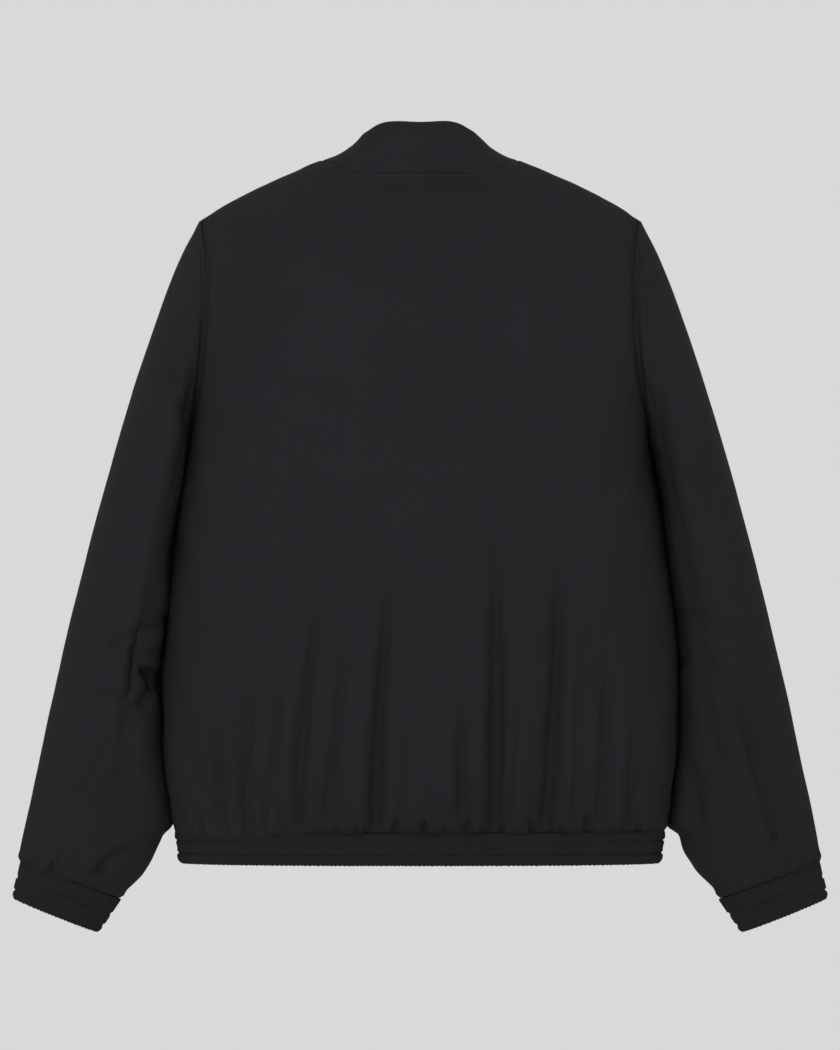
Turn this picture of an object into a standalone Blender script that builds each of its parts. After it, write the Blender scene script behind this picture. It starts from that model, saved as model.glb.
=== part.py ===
"""Bomber jacket, filled out as it is worn, with its zip closed.

Metres, +Z up. The front faces -Y and the wearer's left side is +X. The origin is the
middle of the neck, at the height of the collar's back seam, where a neck and a pair of
shoulders hold the jacket up.

Each cut piece is a thin closed wall. Its outer face is a grid of points worked out from
the sizes below, and its inner face is the same grid moved in by the cloth's thickness.
Neighbours share their seam points and are then trimmed a little, so no two pieces touch.
"""
import math

import bmesh
import bpy
import numpy as np
from mathutils import Matrix, Vector


def table(text):
    """Read a small table with named columns into one array for each column."""
    rows = [line.split() for line in text.strip().splitlines()]
    columns = zip(*[[float(value) for value in row] for row in rows[1:]])
    return {name: np.array(values) for name, values in zip(rows[0], columns)}


# ---------------------------------------------------------------- driving sizes
SHELL = 0.0022            # outer cloth, lining and the air between them
COLLAR_CLOTH = 0.0028     # folded double
BAND_CLOTH = 0.0032       # folded double over elastic
TAPE = 0.0010
SEAM_GAP = 0.0003
UNDERARM = -0.262         # height of the armhole's lowest point
NECK_HALF = 0.0955        # centre line to the neck end of the shoulder seam
NECK_POINT = 0.0134       # height of that end
SHOULDER_HALF = 0.2108    # centre line to the armhole end of the shoulder seam
FRONT_NECK = -0.070       # height of the neck seam at the centre front
ZIP_HALF = 0.0045         # centre line to the front pieces' edges
HEM_TOP = -0.6288         # upper edge of the hem band
EVEN_ROUNDNESS = 2.6      # exponent of the section that spaces the columns
SLEEVE_SHIFT = 0.0004     # sleeve piece clear of the armhole it is sewn to

BACK_COLUMNS = 22         # each half of the back, centre line to side seam
BACK_NECK_COLUMNS = 8     # of those, the ones that end at the neck
FRONT_COLUMNS = 20        # as many reach the shoulder seam as on the back
FRONT_NECK_COLUMNS = 6
ARMHOLE_ROWS = 12
BAND_COLUMNS = 88
PUCKER_SIZE = (0.0009, 0.0026)    # least and most above the hem band
PUCKER_REACH = (0.018, 0.042)
CUFF_COLUMNS = 32

# The body below the armholes, from the hem seam up.
TORSO = table("""
    height   half_width  back_depth  front_depth  squareness
    -0.6285  0.2345      0.0910      0.0890       2.35
    -0.6240  0.2378      0.0985      0.0955       2.35
    -0.6150  0.2396      0.1045      0.1010       2.40
    -0.5980  0.2412      0.1090      0.1055       2.40
    -0.5720  0.2445      0.1130      0.1090       2.45
    -0.5400  0.2474      0.1165      0.1125       2.50
    -0.4940  0.2474      0.1200      0.1160       2.50
    -0.4460  0.2462      0.1235      0.1200       2.55
    -0.3980  0.2405      0.1265      0.1235       2.60
    -0.3500  0.2358      0.1290      0.1260       2.70
    -0.3020  0.2282      0.1305      0.1275       2.90
    -0.2620  0.2185      0.1310      0.1280       3.20
""")

# The armhole's edge: rise is 0 at the underarm and 1 at the shoulder's end.
ARMHOLE = table("""
    rise   half_width
    0.000  0.2185
    0.124  0.2155
    0.263  0.2115
    0.470  0.2070
    0.700  0.2060
    0.862  0.2075
    1.000  0.2108
""")
ARMHOLE_DEPTH = 0.095     # half depth that the armhole would reach without the shoulder
TOP_SQUARENESS = 2.5      # of the body's sections at the shoulders

# The crest of the shoulder. Inside the neck seam it is only the line that the seam cuts.
CREST = table("""
    out     height
    0.0000   0.0450
    0.0500   0.0310
    0.0955   0.0134
    0.1187   0.0038
    0.1515  -0.0105
    0.1750  -0.0220
    0.1953  -0.0336
    0.2108  -0.0451
""")

# Folds in the back and fronts: a line from its upper to its lower end, how wide and deep.
BACK_FOLDS = table("""
    top_x    top_z   low_x    low_z   width   depth
     0.1635  -0.490   0.1635  -0.640  0.0085  0.0034
     0.1340  -0.480   0.1540  -0.625  0.0080  0.0026
     0.0950  -0.410   0.1190  -0.620  0.0090  0.0034
     0.0720  -0.455   0.0915  -0.615  0.0080  0.0028
     0.0280  -0.400   0.0440  -0.640  0.0100  0.0052
    -0.0400  -0.505  -0.0395  -0.640  0.0080  0.0028
    -0.0710  -0.365  -0.0695  -0.640  0.0105  0.0056
    -0.1340  -0.365  -0.1165  -0.640  0.0105  0.0054
    -0.1510  -0.470  -0.1470  -0.620  0.0075  0.0022
    -0.1780  -0.470  -0.1665  -0.640  0.0085  0.0034
    -0.2050  -0.530  -0.2010  -0.640  0.0080  0.0026
     0.1690  -0.365   0.1670  -0.465  0.0100  0.0018
""")
FRONT_FOLDS = table("""
    top_x    top_z   low_x    low_z   width   depth
     0.1960  -0.500   0.1930  -0.640  0.0080  0.0028
     0.1560  -0.390   0.1640  -0.640  0.0100  0.0046
     0.1180  -0.470   0.1250  -0.630  0.0085  0.0030
     0.0780  -0.370   0.0830  -0.640  0.0100  0.0050
     0.0430  -0.500   0.0460  -0.640  0.0080  0.0026
    -0.0480  -0.450  -0.0500  -0.640  0.0085  0.0034
    -0.0860  -0.400  -0.0940  -0.635  0.0095  0.0044
    -0.1250  -0.490  -0.1290  -0.640  0.0080  0.0026
    -0.1600  -0.380  -0.1700  -0.640  0.0105  0.0050
    -0.2000  -0.520  -0.1980  -0.640  0.0080  0.0028
""")

# The sleeve, one row for each section below the armhole. The outer line is the sleeve's
# silhouette. The inner line runs beside the body, off_body clear of it.
SLEEVE = table("""
    outer_x  outer_z  inner_z  off_body  half_depth  centre_y  seam_angle
    0.2212   -0.0623  -0.2700  0.0022    0.0755      -0.001    128
    0.2316   -0.0854  -0.2780  0.0027    0.0785      -0.002    128
    0.2452   -0.1199  -0.2880  0.0027    0.0820      -0.003    127
    0.2588   -0.1582  -0.3000  0.0027    0.0845      -0.004    126
    0.2715   -0.1966  -0.3130  0.0027    0.0860      -0.005    125
    0.2833   -0.2350  -0.3290  0.0027    0.0865      -0.006    124
    0.2947   -0.2733  -0.3490  0.0027    0.0860      -0.008    123
    0.3053   -0.3117  -0.3730  0.0027    0.0845      -0.010    121
    0.3158   -0.3500  -0.4010  0.0027    0.0820      -0.012    119
    0.3255   -0.3884  -0.4320  0.0027    0.0790      -0.014    117
    0.3351   -0.4268  -0.4660  0.0027    0.0755      -0.016    115
    0.3443   -0.4651  -0.5020  0.0027    0.0720      -0.018    112
    0.3532   -0.5035  -0.5390  0.0027    0.0680      -0.020    108
    0.3615   -0.5418  -0.5760  0.0020    0.0640      -0.022    104
    0.3700   -0.5802  -0.6120  0.0025    0.0590      -0.025    100
    0.3783   -0.6186  -0.6500  0.0170    0.0520      -0.028     96
    0.3836   -0.6473  -0.6819  0.0388    0.0430      -0.030     92
    0.3846   -0.6585  -0.6940  0.0532    0.0350      -0.031     90
""")
SEAM_COLUMN = 4           # sleeve column, counted from the underarm, that is the seam

# The cuff, continued from the sleeve's last section.
CUFF = table("""
    outer_x  outer_z  inner_x  inner_z  half_depth
    0.3838   -0.6593  0.2884   -0.6953  0.0330
    0.3858   -0.6700  0.2950   -0.7045  0.0322
    0.3884   -0.6815  0.3025   -0.7150  0.0318
    0.3900   -0.6914  0.3083   -0.7240  0.0300
""")
CUFF_CENTRE_Y = -0.031

# Creases across the sleeves. face is 1 for the back and -1 for the front, across runs
# from -1 at the body to 1 at the outer line, and slant is the drop in height for each
# unit across.
LEFT_CREASES = table("""
    face  across  height  slant   reach  width   depth
     1    -0.55   -0.455   0.020  0.38   0.0090  0.0070
     1    -0.45   -0.492  -0.030  0.32   0.0120  0.0095
     1    -0.60   -0.425   0.030  0.30   0.0085  0.0040
     1    -0.05   -0.645   0.045  0.45   0.0080  0.0032
    -1    -0.30   -0.440   0.035  0.45   0.0110  0.0060
    -1    -0.50   -0.478   0.020  0.40   0.0100  0.0050
    -1     0.10   -0.395  -0.030  0.45   0.0110  0.0034
""")
RIGHT_CREASES = table("""
    face  across  height  slant   reach  width   depth
     1     0.15   -0.560   0.150  0.40   0.0120  0.0044
     1    -0.40   -0.600   0.100  0.30   0.0100  0.0036
     1    -0.60   -0.440   0.030  0.35   0.0100  0.0046
    -1    -0.35   -0.450   0.030  0.45   0.0110  0.0060
    -1    -0.45   -0.490   0.015  0.40   0.0100  0.0050
    -1     0.15   -0.400  -0.030  0.45   0.0110  0.0034
""")

# The collar's upper edge by the angle from the centre back, as seen from above.
COLLAR_EDGE = table("""
    angle  height
      0    0.0510
     40    0.0510
     60    0.0440
     75    0.0385
     90    0.0345
    120    0.0190
    150   -0.0040
    180   -0.0190
""")
COLLAR_HALF = 0.0580      # half width of the upper edge
COLLAR_BACK = 0.0520      # its furthest points back and front
COLLAR_FRONT = -0.0800
COLLAR_ROWS = 5
COLLAR_HOLLOW = 0.0024    # how far the sides curve in below a straight line


# ---------------------------------------------------------------- small tools
def smooth_step(t):
    t = np.clip(t, 0.0, 1.0)
    return t * t * (3.0 - 2.0 * t)


def through(columns, along, name, at):
    """A smooth curve through one column of a table, read at the given places."""
    knots, values = columns[along], columns[name]
    slopes = np.gradient(values, knots)
    at = np.clip(at, knots[0], knots[-1])
    i = np.clip(np.searchsorted(knots, at) - 1, 0, len(knots) - 2)
    span = knots[i + 1] - knots[i]
    t = (at - knots[i]) / span
    start = (1 + 2 * t) * (1 - t) ** 2 * values[i] + t * (1 - t) ** 2 * span * slopes[i]
    return start + t * t * (3 - 2 * t) * values[i + 1] + t * t * (t - 1) * span * slopes[i + 1]


def even_shares(columns):
    """Shares of the half width that space a quarter of a body section evenly."""
    angle = np.linspace(0, math.pi / 2, 2001)
    x = np.sin(angle) ** (2 / EVEN_ROUNDNESS)
    y = 0.5 * np.cos(angle) ** (2 / EVEN_ROUNDNESS)
    length = np.concatenate([[0], np.cumsum(np.hypot(np.diff(x), np.diff(y)))])
    return np.interp(np.linspace(0, length[-1], columns + 1), length, x)


def corner(share, squareness):
    """How far a section still reaches in depth at a share of its half width.

    A squareness of 2 gives an ellipse, and more gives fuller corners."""
    return np.clip(1 - np.clip(share, 0, 1) ** squareness, 0, None) ** (1 / squareness)


def shared_normals(grids):
    """Outward normals at each grid's points, the same where two grids meet."""
    total = {}
    for grid in grids:
        across = grid[:-1, :-1] - grid[1:, 1:]
        along = grid[:-1, 1:] - grid[1:, :-1]
        face = np.cross(across, along)
        for row in range(face.shape[0]):
            for column in range(face.shape[1]):
                for point in grid[row:row + 2, column:column + 2].reshape(4, 3):
                    key = tuple(np.round(point, 6))
                    total[key] = total.get(key, 0) + face[row, column]
    result = []
    for grid in grids:
        sums = np.array([total[tuple(np.round(p, 6))] for p in grid.reshape(-1, 3)])
        result.append((sums / np.linalg.norm(sums, axis=1)[:, None]).reshape(grid.shape))
    return result


def trimmed(outer, inner, edges):
    """Draw the named edges of a wall back by half a seam gap."""
    outer, inner = outer.copy(), inner.copy()
    pairs = {"low": ((0,), (1,)), "top": ((-1,), (-2,)),
             "first": ((slice(None), 0), (slice(None), 1)),
             "last": ((slice(None), -1), (slice(None), -2))}
    for edge in edges:
        at, beside = pairs[edge]
        step = outer[beside] - outer[at]
        step *= SEAM_GAP / 2 / np.linalg.norm(step, axis=1)[:, None]
        outer[at] += step
        inner[at] += step
    return outer, inner


def finish(name, mesh, colour, roughness, metallic=0.0):
    """Make the named object, with its own material."""
    material = bpy.data.materials.new(name)
    material.use_nodes = True
    shader = material.node_tree.nodes["Principled BSDF"]
    shader.inputs["Base Color"].default_value = (*colour, 1.0)
    shader.inputs["Roughness"].default_value = roughness
    shader.inputs["Metallic"].default_value = metallic
    mesh.materials.append(material)
    piece = bpy.data.objects.new(name, mesh)
    jacket.objects.link(piece)
    return piece


def wall(name, outer, inner, closed=False, colour=(0.018, 0.019, 0.021)):
    """Close the space between an outer and an inner grid into one solid piece."""
    rows, columns = outer.shape[:2]
    mesh = bpy.data.meshes.new(name)
    shape = bmesh.new()
    faces = [[[shape.verts.new(point) for point in row] for row in grid]
             for grid in (outer, inner)]
    last = columns if closed else columns - 1
    for row in range(rows - 1):
        for column in range(last):
            beside = (column + 1) % columns
            for grid in faces:
                shape.faces.new((grid[row][column], grid[row][beside],
                                 grid[row + 1][beside], grid[row + 1][column]))
    for row in (0, rows - 1):
        for column in range(last):
            beside = (column + 1) % columns
            shape.faces.new((faces[0][row][column], faces[0][row][beside],
                             faces[1][row][beside], faces[1][row][column]))
    if not closed:
        for column in (0, columns - 1):
            for row in range(rows - 1):
                shape.faces.new((faces[0][row][column], faces[0][row + 1][column],
                                 faces[1][row + 1][column], faces[1][row][column]))
    bmesh.ops.recalc_face_normals(shape, faces=shape.faces)
    shape.to_mesh(mesh)
    shape.free()
    piece = finish(name, mesh, colour, 0.6)
    mesh.shade_smooth()
    mesh.set_sharp_from_angle(angle=math.radians(40))
    return piece


# ---------------------------------------------------------------- the body's surface
def neck_height(out, face):
    """Height of the neck seam at a distance from the centre line."""
    if face > 0:
        return NECK_POINT * smooth_step((out - 0.055) / (NECK_HALF - 0.055))
    drop = np.clip(1 - (out / NECK_HALF) ** 2, 0, None) ** 0.8
    return NECK_POINT - (NECK_POINT - FRONT_NECK) * drop


def crest(out):
    return through(CREST, "out", "height", out)


def half_panel(face, columns, neck_columns, edge):
    """One half of the back (face 1) or front (face -1), centre line to side, hem to top.

    edge is the centre line's own distance from the middle, and the side with x above 0
    is made."""
    depth = TORSO["back_depth" if face > 0 else "front_depth"]
    even = even_shares(columns)
    rows = []
    for count, height in enumerate(TORSO["height"]):
        half_width = TORSO["half_width"][count]
        share = (edge + (half_width - edge) * even) / half_width
        y = face * depth[count] * corner(share, TORSO["squareness"][count])
        rows.append(np.column_stack([share * half_width, y, np.full_like(y, height)]))

    neck = edge + (NECK_HALF - edge) * np.sin(np.linspace(0, math.pi / 2, neck_columns + 1))
    shoulder = np.linspace(NECK_HALF, SHOULDER_HALF, columns - neck_columns + 1)
    top_x = np.concatenate([neck, shoulder[1:]])
    top_z = crest(top_x)
    top_z[:neck_columns + 1] = neck_height(neck, face)
    top_angle = np.arcsin(np.clip((top_z - UNDERARM) / (crest(top_x) - UNDERARM), 0, 1))
    for row in range(1, ARMHOLE_ROWS + 1):
        lift = (row / ARMHOLE_ROWS) ** 1.4
        edge_rise = math.sin(lift * math.pi / 2)
        half_width = through(ARMHOLE, "rise", "half_width", edge_rise)
        low_share = (edge + (half_width - edge) * even) / half_width
        blend = smooth_step(lift)
        x = half_width * (low_share * (1 - blend) + top_x / SHOULDER_HALF * blend)
        rise = np.sin(lift * top_angle)
        side = ARMHOLE_DEPTH * (1 - (1 - edge_rise) ** 2.2) ** (1 / 2.2)
        squareness = TORSO["squareness"][-1] + (TOP_SQUARENESS - TORSO["squareness"][-1]) * lift
        full_width = half_width / corner(side / depth[-1], squareness)
        arch = np.clip(1 - rise ** 2.1, 0, None) ** (1 / 2.1)
        y = face * depth[-1] * corner(x / full_width, squareness) * arch
        z = UNDERARM + rise * (crest(x) - UNDERARM)
        rows.append(np.column_stack([x, y, z]))
    return np.array(rows)


def fold_depth(grid, folds):
    """How deep the folds press each point of a body panel in."""
    x, z = grid[..., 0], grid[..., 2]
    total = np.zeros_like(x)
    for top_x, top_z, low_x, low_z, width, depth in zip(*folds.values()):
        down = (top_z - z) / (top_z - low_z)
        line = top_x + (low_x - top_x) * down
        strength = smooth_step(down * 1.6) * smooth_step((1.08 - down) * 9)
        total += depth * strength * np.exp(-((x - line) / width) ** 2)
        total -= 0.35 * depth * strength * np.exp(-(((x - line) - 1.9 * width) / width) ** 2)
    return total


def gather(grid, seed):
    """Small puckers where the elastic band draws the cloth in, from the seam up."""
    columns = grid.shape[1]
    rng = np.random.default_rng(seed)
    size = rng.uniform(*PUCKER_SIZE, columns) * np.where(np.arange(columns) % 2, 1, -0.7)
    reach = rng.uniform(*PUCKER_REACH, columns)
    above = grid[..., 2] - TORSO["height"][0]
    return size * np.clip(1 - above / reach, 0, 1) ** 1.5


def fold_panel(grid, normals, folds, seed, still):
    """Press a panel's folds and puckers in, sideways, leaving its edge columns still."""
    level = normals.copy()
    level[..., 2] = 0
    level /= np.linalg.norm(level, axis=2)[..., None]
    amount = gather(grid, seed) - fold_depth(grid, folds)
    from_edge = np.minimum(np.arange(grid.shape[1]), np.arange(grid.shape[1])[::-1])
    fade = np.ones(grid.shape[1])
    for count, weight in enumerate((0.0, 0.25, 0.65)):
        fade[from_edge == count] = weight
    if still:
        fade *= smooth_step((np.abs(grid[0, :, 0]) - 0.012) / 0.02)
    below_armhole = smooth_step((UNDERARM + 0.03 - grid[..., 2]) / 0.06)
    return grid + level * (amount * fade * below_armhole)[..., None]


def mirrored(grid):
    """The same grid for the other side, its columns turned round to keep facing out."""
    return (grid * (-1, 1, 1))[:, ::-1]


def body_grids():
    """The back, from the wearer's left side to the right, and the two fronts."""
    half_back = half_panel(1, BACK_COLUMNS, BACK_NECK_COLUMNS, 0.0)
    back = np.concatenate([half_back[:, ::-1], (half_back * (-1, 1, 1))[:, 1:]], axis=1)
    front_left = half_panel(-1, FRONT_COLUMNS, FRONT_NECK_COLUMNS, ZIP_HALF)
    return back, front_left, mirrored(front_left)


# ---------------------------------------------------------------- the sleeves' surface
def body_half_width(height):
    low = through(TORSO, "height", "half_width", height)
    return np.where(height < HEM_TOP, TORSO["half_width"][0], low)


def section_angles(seam_angle):
    """Angles from the underarm, at 180, round the back to the outer line, at 0."""
    under = np.linspace(180, seam_angle, SEAM_COLUMN + 1)
    over = np.linspace(seam_angle, 0, ARMHOLE_ROWS - SEAM_COLUMN + 1)
    return np.radians(np.concatenate([under, over[1:]]))


def sleeve_grid(back, front_left):
    """The left sleeve, armhole to cuff seam. Columns go from the underarm round the back.

    The first row is the armhole's own edge. The rows after it turn into rounded sections
    between the sleeve's inner and outer lines."""
    bottom = len(TORSO["height"]) - 1
    edges = [back[bottom:, 0], front_left[bottom:, -1]]
    low, high = edges[0][0], edges[0][-1]
    middle, half = (low + high) / 2, (high - low)[2] / 2
    rows = [np.concatenate([edges[0], edges[1][-2::-1]])]
    for count, row in enumerate(zip(*SLEEVE.values()), start=1):
        outer_x, outer_z, inner_z, off_body, half_depth, centre_y, seam_angle = row
        inner = np.array([body_half_width(inner_z) + off_body, centre_y, inner_z])
        outer = np.array([outer_x, centre_y, outer_z])
        centre, reach = (inner + outer) / 2, (outer - inner) / 2
        turned = smooth_step(count / 5)
        angle = section_angles(seam_angle)
        ring = []
        for edge, face in zip(edges, (1, -1)):
            along = (edge[:, 2] - middle[2]) / half
            depth = edge[:, 1] / np.abs(edge[:, 1]).max() * face
            bow = (edge[:, 0] - np.interp(edge[:, 2], [low[2], high[2]], [low[0], high[0]]))
            round_along = np.sign(np.cos(angle)) * np.abs(np.cos(angle)) ** (2 / 2.2)
            round_depth = np.abs(np.sin(angle)) ** (2 / 2.2)
            along = along * (1 - turned) + round_along * turned
            depth = depth * (1 - turned) + round_depth * turned
            points = centre + along[:, None] * reach
            points[:, 1] += face * depth * half_depth
            points[:, 0] += bow * (1 - turned)
            ring.append(points)
        rows.append(np.concatenate([ring[0], ring[1][-2::-1]]))
    return np.array(rows)


def crease_sleeve(grid, normals, creases):
    """Press the creases into a sleeve, given as made for the left side."""
    amount = np.zeros(grid.shape[:2])
    for row in range(1, grid.shape[0]):
        ring = grid[row]
        inner, outer = ring[0], ring[ARMHOLE_ROWS]
        centre, reach = (inner + outer) / 2, (outer - inner) / 2
        across = (ring - centre) @ reach / (reach @ reach)
        face = np.sign(ring[:, 1] - centre[1])
        for side, middle, height, slant, width_across, width, depth in zip(*creases.values()):
            line = height - slant * (across - middle)
            near = np.exp(-((across - middle) / width_across) ** 2)
            press = np.exp(-((ring[:, 2] - line) / width) ** 2)
            amount[row] += np.where(face == side, depth * near * press, 0)
    amount[-1] = 0
    return grid - normals * amount[..., None]


# ---------------------------------------------------------------- collar, band, cuffs
def collar_grid(back, front_left, front_right):
    """The stand collar from the left front edge round the neck to the right one."""
    left = front_left[-1, :FRONT_NECK_COLUMNS + 1]
    middle = back[-1, BACK_COLUMNS - BACK_NECK_COLUMNS:BACK_COLUMNS + BACK_NECK_COLUMNS + 1]
    right = front_right[-1, -FRONT_NECK_COLUMNS - 1:]
    seam = np.concatenate([left, middle[1:-1], right])
    centre_y = (COLLAR_BACK + COLLAR_FRONT) / 2
    half_depth = (COLLAR_BACK - COLLAR_FRONT) / 2
    last = 180 - math.degrees(math.asin(ZIP_HALF / COLLAR_HALF))
    quarter = np.concatenate([np.linspace(last, 86, FRONT_NECK_COLUMNS + 1),
                              np.linspace(86, 0, BACK_NECK_COLUMNS + 1)[1:]])
    degrees = np.concatenate([quarter, -quarter[-2::-1]])
    angle = np.radians(degrees)
    top = np.column_stack([COLLAR_HALF * np.sin(angle),
                           centre_y + half_depth * np.cos(angle),
                           through(COLLAR_EDGE, "angle", "height", np.abs(degrees))])
    hollow = COLLAR_HOLLOW * np.abs(np.sin(angle)) + 0.0006
    rows = []
    for row in range(COLLAR_ROWS + 1):
        up = row / COLLAR_ROWS
        points = seam + (top - seam) * up
        points[:, 2] -= hollow * math.sin(math.pi * up)
        points[:, 0] *= 1 - 0.02 * math.sin(math.pi * up)
        rows.append(points)
    return np.array(rows)


def ring_points(half_width, back_depth, front_depth, height, columns):
    """A body section open at the zip, from the left front edge round the back."""
    share = even_shares(columns // 4)
    edge = ZIP_HALF / half_width
    front = edge + (1 - edge) * share
    squareness = TORSO["squareness"][0]
    front_y = -front_depth * corner(front, squareness)
    back_y = back_depth * corner(share, squareness)
    quarter = [np.column_stack([front * half_width, front_y]),
               np.column_stack([share * half_width, back_y])[-2::-1]]
    half = np.concatenate(quarter)
    other = (half * (-1, 1))[-2::-1]
    flat = np.concatenate([half, other])
    return np.column_stack([flat, np.full(len(flat), height)])


BAND = table("""
    height   in_by    fullness
    -0.6288  0.0010   0.0
    -0.6360  0.0000   1.0
    -0.6445  0.0012   0.4
    -0.6530  0.0002   1.0
    -0.6600  0.0018   0.3
""")
BAND_GATHER = 0.0017
CUFF_GATHER = 0.0015


def hem_band():
    """The elastic hem band, gathered on its outer face over a plain inside."""
    rng = np.random.default_rng(5)
    swell = rng.uniform(0.5, 1.0, BAND_COLUMNS + 1) * (np.arange(BAND_COLUMNS + 1) % 2)
    swell[:3] = swell[-3:] = 0
    outer, inner = [], []
    for height, in_by, fullness in zip(*BAND.values()):
        sizes = [TORSO[name][0] for name in ("half_width", "back_depth", "front_depth")]
        ring = ring_points(*(size - in_by for size in sizes), height, BAND_COLUMNS)
        outer.append(ring)
        plain = ring_points(*(size - BAND_CLOTH for size in sizes), height, BAND_COLUMNS)
        inner.append(plain)
    outer, inner = np.array(outer), np.array(inner)
    out = outer - inner
    out /= np.linalg.norm(out, axis=2)[..., None]
    outer += out * (swell * BAND_GATHER * BAND["fullness"][:, None])[..., None]
    return wall("hem_band", outer, inner)


def cuff(name, side, seed):
    """An elastic cuff, gathered on its outer face over a plain inside."""
    rng = np.random.default_rng(seed)
    swell = rng.uniform(0.5, 1.0, CUFF_COLUMNS) * (np.arange(CUFF_COLUMNS) % 2)
    angle = np.arange(CUFF_COLUMNS) / CUFF_COLUMNS * 2 * math.pi
    outer, inner = [], []
    for outer_x, outer_z, inner_x, inner_z, half_depth in zip(*CUFF.values()):
        high = np.array([outer_x, CUFF_CENTRE_Y, outer_z])
        low = np.array([inner_x, CUFF_CENTRE_Y, inner_z])
        centre, reach = (high + low) / 2, (high - low) / 2
        length = np.linalg.norm(reach)
        rings = []
        for inset in (swell * CUFF_GATHER, np.full(CUFF_COLUMNS, -BAND_CLOTH)):
            points = centre + (np.cos(angle) * (1 + inset / length))[:, None] * reach
            points[:, 1] += np.sin(angle) * (half_depth + inset)
            rings.append(points * (side, 1, 1))
        outer.append(rings[0])
        inner.append(rings[1])
    return wall(name, np.array(outer), np.array(inner), closed=True)


# ---------------------------------------------------------------- the zip
CHAIN_HALF = 0.0030
CHAIN_DEPTH = 0.0024
TAPE_WIDTH = 0.0130
TAPE_CLEAR = 0.0010       # behind the cloth, where the collar still curves
CHAIN_INSET = 0.0004      # chain's face behind the cloth's
SLIDER_LENGTH = 0.0120
SLIDER_WIDTH = 0.0098
SLIDER_PLATE = 0.0014
SLIDER_BELOW_EDGE = 0.0040
STEM_WIDTH = 0.0060       # the slider's middle, between the two rows of teeth
STEM_DEPTH = 0.0030
METAL = (0.045, 0.046, 0.048)
TAPE_COLOUR = (0.012, 0.012, 0.013)


def line_up_front(collar, front_left, out):
    """Outer points up the front, band to collar, a little out from the centre line.

    The second result is the thickness of the cloth there."""
    points, depth = [], []
    for height, in_by in zip(BAND["height"][:0:-1], BAND["in_by"][:0:-1]):
        points.append((out, in_by - TORSO["front_depth"][0], height))
        depth.append(BAND_CLOTH)
    for rows, cloth in ((front_left, SHELL), (collar[1:], COLLAR_CLOTH)):
        for row in rows[:, :6]:
            points.append((out, *(np.interp(out, row[:, 0], row[:, axis]) for axis in (1, 2))))
            depth.append(cloth)
    depth[len(BAND["height"]) - 1] = BAND_CLOTH
    return np.array(points), np.array(depth)


def line_normals(line):
    """Directions that point out of the jacket along the centre line."""
    along = np.gradient(line, axis=0)
    out = np.column_stack([np.zeros(len(line)), -along[:, 2], along[:, 1]])
    return out / np.linalg.norm(out, axis=1)[:, None]


def strip(name, low, high, out, front, back, colour):
    """A flat strip between two lines up the front, and between two offsets from them."""
    grids = []
    for offset in (front, back):
        shift = out * np.reshape(offset, (-1, 1))
        grids.append(np.stack([low + shift, high + shift], axis=1))
    return wall(name, *grids, colour=colour)


def cut_short(line, depth, end):
    """End the line a given length before its last point."""
    lengths = np.linalg.norm(np.diff(line, axis=0), axis=1)
    total = np.concatenate([[0], np.cumsum(lengths)])
    stop = total[-1] - end
    keep = total < stop - 0.001
    last = [np.interp(stop, total, line[:, axis]) for axis in range(3)]
    return np.vstack([line[keep], last]), np.append(depth[keep], depth[-1])


def box(name, size, place, bevel=0.0):
    """A plain block with rounded edges, to be joined into a fitting."""
    bpy.ops.mesh.primitive_cube_add(size=1, location=place)
    block = bpy.context.object
    block.name = name
    block.scale = size
    bpy.ops.object.transform_apply(location=True, rotation=False, scale=True)
    if bevel:
        rounded = block.modifiers.new("edges", "BEVEL")
        rounded.width = bevel
        rounded.segments = 2
        bpy.ops.object.modifier_apply(modifier="edges")
    return block


def rod(name, radius, path, turns=8):
    """A round bar along a few points, as a closed mesh."""
    curve = bpy.data.curves.new(name, "CURVE")
    curve.dimensions = "3D"
    curve.bevel_depth = radius
    curve.bevel_resolution = turns // 4
    curve.use_fill_caps = True
    spline = curve.splines.new("POLY")
    spline.points.add(len(path) - 1)
    for point, place in zip(spline.points, path):
        point.co = (*place, 1)
    bar = bpy.data.objects.new(name, curve)
    bpy.context.scene.collection.objects.link(bar)
    evaluated = bar.evaluated_get(bpy.context.evaluated_depsgraph_get())
    mesh = bpy.data.meshes.new_from_object(evaluated)
    shape = bmesh.new()
    shape.from_mesh(mesh)
    bmesh.ops.remove_doubles(shape, verts=shape.verts, dist=1e-6)
    bmesh.ops.recalc_face_normals(shape, faces=shape.faces)
    shape.to_mesh(mesh)
    shape.free()
    bpy.data.objects.remove(bar)
    solid = bpy.data.objects.new(name, mesh)
    bpy.context.scene.collection.objects.link(solid)
    return solid


def combine(base, others, operation):
    """Join other pieces to a base, or cut them out of it, and remove them."""
    for other in others:
        change = base.modifiers.new("combine", "BOOLEAN")
        change.operation = operation
        change.solver = "EXACT"
        change.object = other
        bpy.context.view_layer.objects.active = base
        bpy.ops.object.modifier_apply(modifier="combine")
        bpy.data.objects.remove(other)
    return base


def settle(piece, frame, colour, roughness, metallic):
    """Give a fitting its place, its material and its name in the jacket."""
    mesh = piece.data
    name = piece.name
    bpy.data.objects.remove(piece)
    mesh.materials.clear()
    placed = finish(name, mesh, colour, roughness, metallic)
    placed.matrix_world = frame
    return placed


BAIL_HEIGHT = 0.0034      # the slider's loop above its face
BAIL_HALF = 0.0040
BAIL_WIRE = 0.0007        # radius
BAIL_FOOT = 0.0010        # where the loop's ends sink into the plate
PIN_HEIGHT = 0.0018       # the pull's pin, in the middle of the loop
PULL_LENGTH = 0.0240
PULL_WIDTH = 0.0062
PULL_THICKNESS = 0.0013
PULL_END = 0.0007         # metal above the pin
EYE_WIDTH = 0.0026        # the pull's hole for the loop
EYE_LENGTH = 0.0052


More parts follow.
